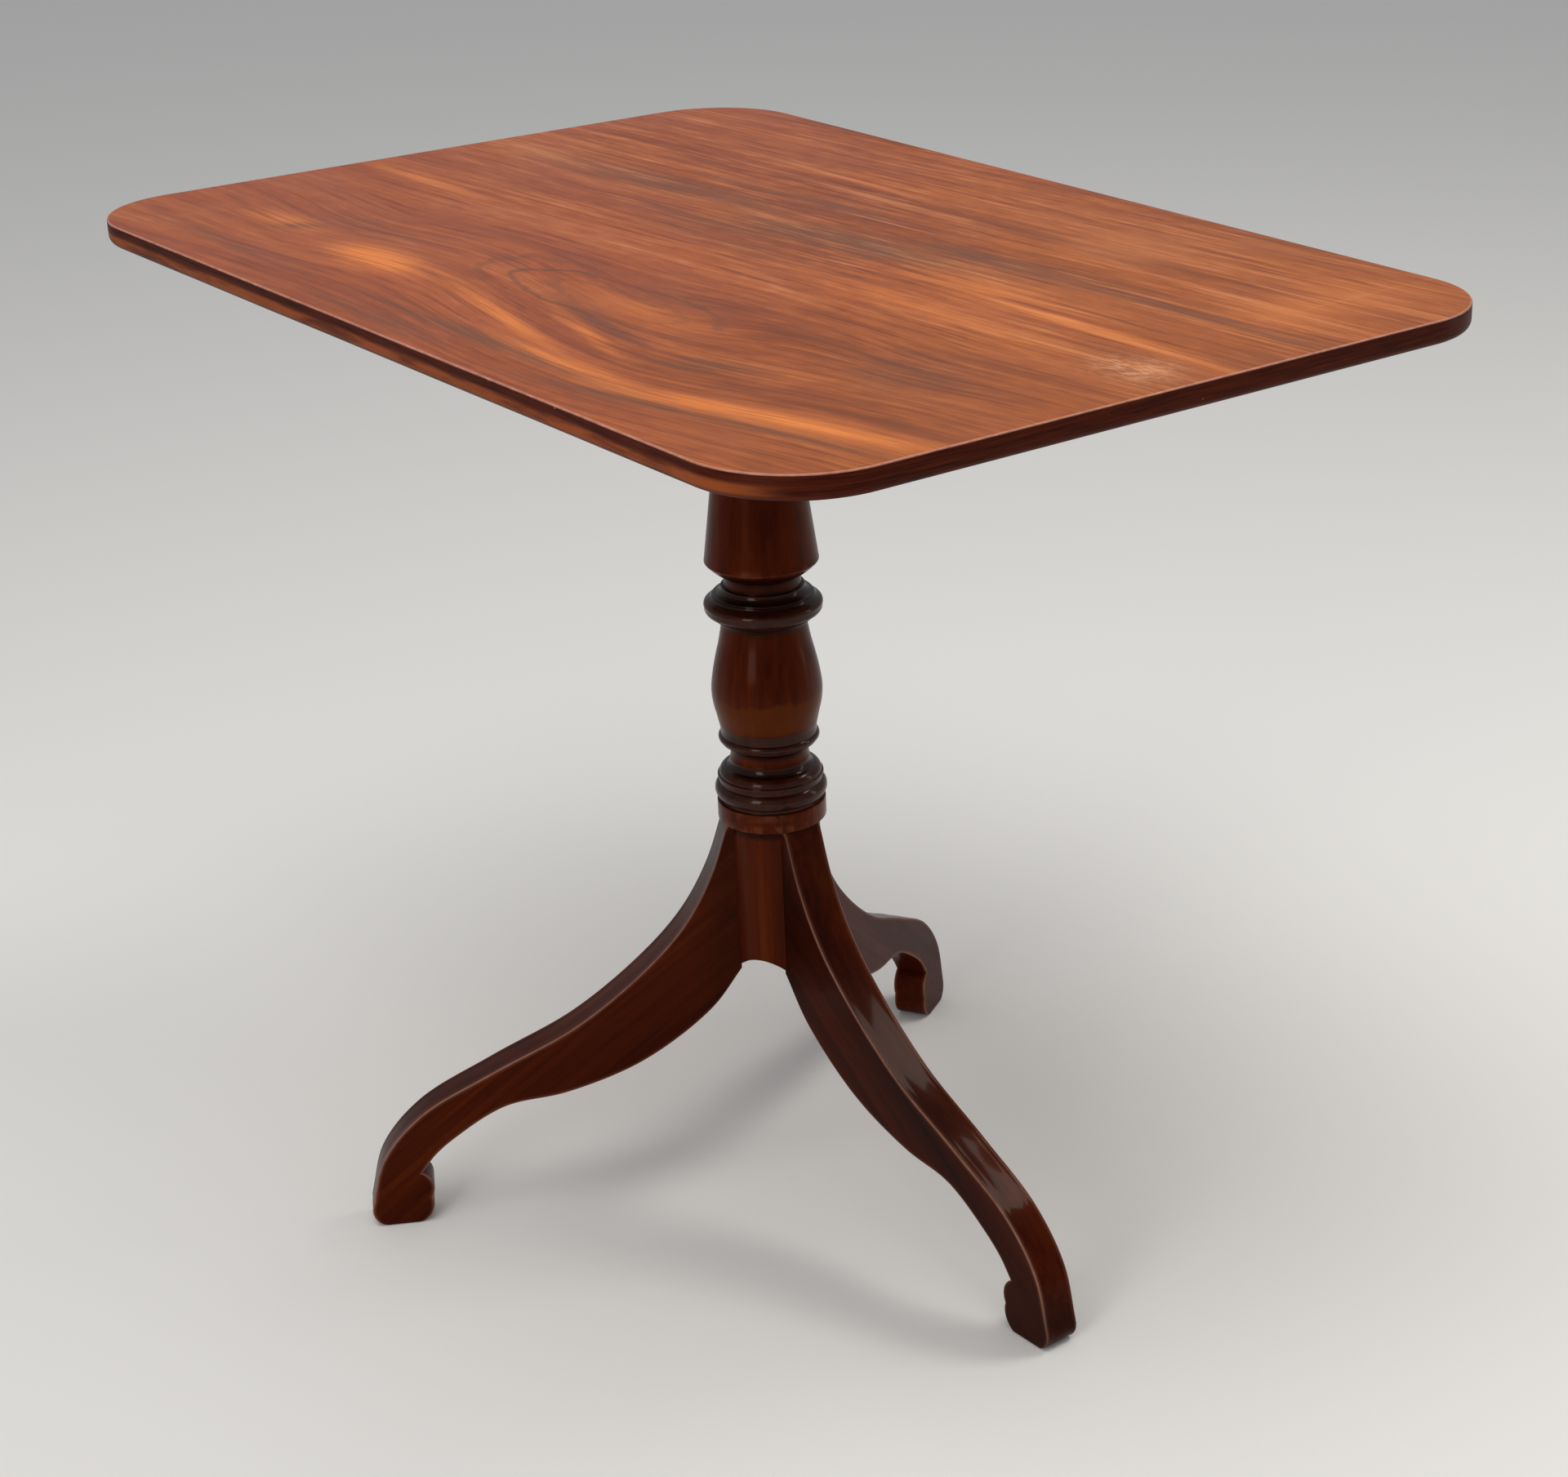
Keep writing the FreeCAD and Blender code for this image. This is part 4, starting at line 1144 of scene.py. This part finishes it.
def makeBearer(name, node, screwPlaces, material):
    look = bearerLook
    low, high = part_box(node)
    tipRound, tip = look["tipRound"], high.z - look["tipDepth"]
    ends = []
    for side in (1, -1):
        edge = side * high.y
        corner = [(edge, high.z), (edge, tip + tipRound)]
        for step in range(1, look["tipSteps"]):
            angle = math.pi / 2 * step / look["tipSteps"]
            corner.append((edge - side * tipRound * (1 - math.cos(angle)),
                           tip + tipRound * (1 - math.sin(angle))))
        corner.append((side * look["flat"] / 2, low.z))
        ends.append(corner)
    outline = ends[0] + list(reversed(ends[1]))
    cuts = [roundCut((x, y), look["pocketRadius"], "XY", low.z - joinery["overrun"], z)
            for x, y, z in screwPlaces if low.x < x < high.x]
    return shapedPiece(name, outline, "YZ", low.x, high.x, look["bevel"], cuts, material,
                       "top", node)


def makeBlock(material):
    look, past = blockLook, joinery["overrun"]
    low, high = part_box("pillar_block")
    nose = (high.z - low.z) / 2
    outline = [(low.y, high.z), (low.y, low.z)]
    for step in range(look["noseSteps"] + 1):
        angle = math.pi * step / look["noseSteps"] - math.pi / 2
        outline.append((high.y - nose + nose * math.cos(angle), low.z + nose + nose * math.sin(angle)))
    boltLow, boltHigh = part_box("catch_bolt")
    gap = catchLook["keeperGap"]
    cuts = [roundCut((0, 0), look["boreRadius"], "XY", low.z - past, high.z + past, look["boreSides"]),
            boxCut((boltLow.x - gap, low.y - past, boltLow.z - gap),
                   (boltHigh.x + gap, low.y + look["pocketDepth"], boltHigh.z + gap))]
    return shapedPiece("pivotBlock", outline, "YZ", low.x, high.x, look["bevel"], cuts, material,
                       "stand", "pillar_block")


def makeCatch(brass, screwPlaces, keeperPlaces):
    look, past = catchLook, joinery["overrun"]
    low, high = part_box("catch_plate")
    cuts = [roundCut((x, y), look["holeRadius"], "XY", low.z - past, high.z + past)
            for x, y, _ in screwPlaces]
    platePiece("catchPlate", low, high, look["plateCorner"], look["plateBevel"], cuts, brass,
               "top", "catch_plate")

    low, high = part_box("catch_case")
    knobLow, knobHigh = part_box("catch_knob")
    boltLow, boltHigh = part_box("catch_bolt")
    wall, half, gap = look["wall"], look["slotHalf"], look["mouthGap"]
    knob = (knobLow.y + knobHigh.y) / 2
    cuts = [boxCut((low.x + wall, low.y + wall, low.z + wall),
                   (high.x - wall, high.y - wall, high.z + past)),
            boxCut((boltLow.x - gap, high.y - wall - look["mouthReach"], boltLow.z - gap),
                   (boltHigh.x + gap, high.y + past, boltHigh.z + gap)),
            boxCut((-half, knob, low.z - past), (half, knob + look["travel"], boltLow.z)),
            roundCut((0, knob), half, "XY", low.z - past, boltLow.z),
            roundCut((0, knob + look["travel"]), half, "XY", low.z - past, boltLow.z)]
    platePiece("catchCase", low, high, look["caseCorner"], look["caseBevel"], cuts, brass,
               "top", "catch_case")

    outline = [(boltLow.y, boltLow.z), (boltHigh.y - look["boltNose"], boltLow.z),
               (boltHigh.y, (boltLow.z + boltHigh.z) / 2), (boltHigh.y, boltHigh.z),
               (boltLow.y, boltHigh.z)]
    shapedPiece("catchBolt", outline, "YZ", boltLow.x, boltHigh.x, look["boltBevel"], [], brass,
                "bolt", "catch_bolt")

    low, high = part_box("keeper_plate")
    gap = look["keeperGap"]
    cuts = [roundCut((x, z), look["holeRadius"], "XZ", low.y - past, high.y + past)
            for x, _, z in keeperPlaces]
    cuts.append(boxCut((boltLow.x - gap, low.y - past, boltLow.z - gap),
                       (boltHigh.x + gap, high.y + past, boltHigh.z + gap)))
    outline = [place for place, _ in roundedOutline(low.xz, high.xz, look["keeperCorner"])]
    shapedPiece("keeperPlate", outline, "XZ", low.y, high.y, look["plateBevel"], cuts, brass,
                "stand", "keeper_plate")


def paint(node, material):
    for slot in nodes[node].material_slots:
        slot.material = material


stageLook = {"floor": (0.78, 0.77, 0.75), "floorSize": 240.0, "floorRoughness": 0.9,
             "floorSpecular": 0.1, "sky": (0.95, 0.97, 1.0), "skyStrength": 0.42}

lamps = {
    "overheadSoftbox": {"place": (0.5, -0.7, 3.4), "size": (2.6, 2.0), "power": 56,
                        "colour": (1.0, 0.98, 0.95)},
    "backSoftbox": {"place": (0.75, 2.0, 2.9), "size": (1.1, 0.7), "power": 28,
                    "colour": (1.0, 0.96, 0.90)},
    "leftSoftbox": {"place": (1.02, -2.39, 1.2), "size": (0.8, 1.6), "power": 18,
                    "colour": (1.0, 0.98, 0.95)},
    "rightStrip": {"place": (1.26, 2.27, 1.0), "size": (0.3, 1.6), "power": 4,
                   "colour": (1.0, 0.97, 0.92)},
}

lampTarget = (0, 0, 0.4)  # every lamp faces this height on the pillar


def makeStage():
    look = stageLook
    bm = bmesh.new()
    bmesh.ops.create_grid(bm, x_segments=2, y_segments=2, size=look["floorSize"] / 2)
    mesh = closeMesh(bm, bpy.data.meshes.new("studioFloor"))
    material, g = newMaterial("studioFloor")
    finishMaterial(g, {"Base Color": look["floor"], "Roughness": look["floorRoughness"],
                       "Specular IOR Level": look["floorSpecular"]})
    mesh.materials.append(material)
    newObject("studioFloor", mesh)
    world = bpy.data.worlds.new("studioSky")
    world.use_nodes = True
    g = Graph(world.node_tree)
    sky = g.add("ShaderNodeBackground", None, {"Color": look["sky"], "Strength": look["skyStrength"]})
    g.put("ShaderNodeOutputWorld", None, {"Surface": sky})
    bpy.context.scene.world = world


def makeLamps():
    for name, look in lamps.items():
        lamp = bpy.data.lights.new(name, "AREA")
        lamp.shape = "RECTANGLE"
        lamp.size, lamp.size_y = look["size"]
        lamp.energy = look["power"]
        lamp.color = look["colour"]
        holder = newObject(name, lamp)
        holder.location = look["place"]
        way = Vector(lampTarget) - holder.location
        holder.rotation_euler = way.to_track_quat("-Z", "Y").to_euler()


cameraLook = {
    # Solved from the photograph: place in metres, angles in degrees, the rest in its pixels
    "place": (1.6658, -1.1535, 1.2061), "turn": 51.446, "drop": 25.300, "roll": 0.866,
    "focalPixels": 3762.9, "middlePixels": (1178.5, 1071.0), "imagePixels": (1920, 1809),
    "sensor": 36.0, "nearClip": 0.05,
}


def makeCamera():
    look = cameraLook
    wide, tall = look["imagePixels"]
    camera = bpy.data.cameras.new("photoCamera")
    camera.sensor_width = look["sensor"]
    camera.lens = look["focalPixels"] / wide * look["sensor"]
    camera.shift_x = (wide / 2 - look["middlePixels"][0]) / wide
    camera.shift_y = (look["middlePixels"][1] - tall / 2) / wide
    camera.clip_start = look["nearClip"]
    holder = newObject("photoCamera", camera)
    turn = Matrix.Rotation(math.radians(look["turn"]), 4, "Z")
    drop = Matrix.Rotation(math.radians(90 - look["drop"]), 4, "X")
    roll = Matrix.Rotation(math.radians(-look["roll"]), 4, "Z")
    holder.matrix_world = Matrix.Translation(look["place"]) @ turn @ drop @ roll
    bpy.context.scene.camera = holder


bpy.context.scene.view_settings.view_transform = "Standard"
brass, iron = makeMetal("agedBrass"), makeMetal("ironScrew")
bearerWood, blockWood = makePlainWood("bearerMahogany", "Y"), makePlainWood("bearerMahogany", "X")
oakPin = makePlainWood("pinOak", "X")
for node, material in (("pivot_pin_left", oakPin), ("pivot_pin_right", oakPin),
                       ("tenon_wedges", makePlainWood("pinOak", "Z")),
                       ("catch_spring", makeMetal("springSteel"))):
    paint(node, material)
print("pins, wedges and spring painted")
topPiece = makeTopBoard(makeTopMaterial(), makePlainWood("undersideMahogany", "X"))
print("top board made:", len(topPiece.data.polygons), "faces")
turning = turningTree()
pillarPiece = turnPiece("turnedPillar", pillarLook, turning, makePillarMaterial(), (0, 0),
                        "stand", "pillar")
print("pillar turned:", len(pillarPiece.data.polygons), "faces")
legMaterial = makeLegMaterial()
for node, angle in legShape["angles"].items():
    makeLeg("carved" + node[4:].capitalize(), node, angle, legMaterial)
print("legs made")
bearerPlaces, catchPlaces = headPlaces("bearer_screws", 2), headPlaces("catch_screws", 2)
keeperPlaces = headPlaces("keeper_screws", 1)
makeBearer("leftBearer", "bearer_left", bearerPlaces, bearerWood)
makeBearer("rightBearer", "bearer_right", bearerPlaces, bearerWood)
makeBlock(blockWood)
makeCatch(brass, catchPlaces, keeperPlaces)
knobLow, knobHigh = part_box("catch_knob")
turnPiece("catchKnob", knobLook, turning, brass, (0, (knobLow.y + knobHigh.y) / 2),
          "bolt", "catch_knob")
print("bearers, block and catch made")
screws = screwTree()
down, front = (math.pi, 0, 0), (math.pi / 2, 0, 0)
makeScrews("bearerScrews", screwLook["bearer"], bearerPlaces, down, screws, iron,
           "top", "bearer_screws")
makeScrews("catchScrews", screwLook["catch"], catchPlaces, down, screws, brass,
           "top", "catch_screws")
makeScrews("keeperScrews", screwLook["catch"], keeperPlaces, front, screws, brass,
           "stand", "keeper_screws")
print("screws set")
makeStage()
makeLamps()
makeCamera()
print("stage, lamps and camera ready")
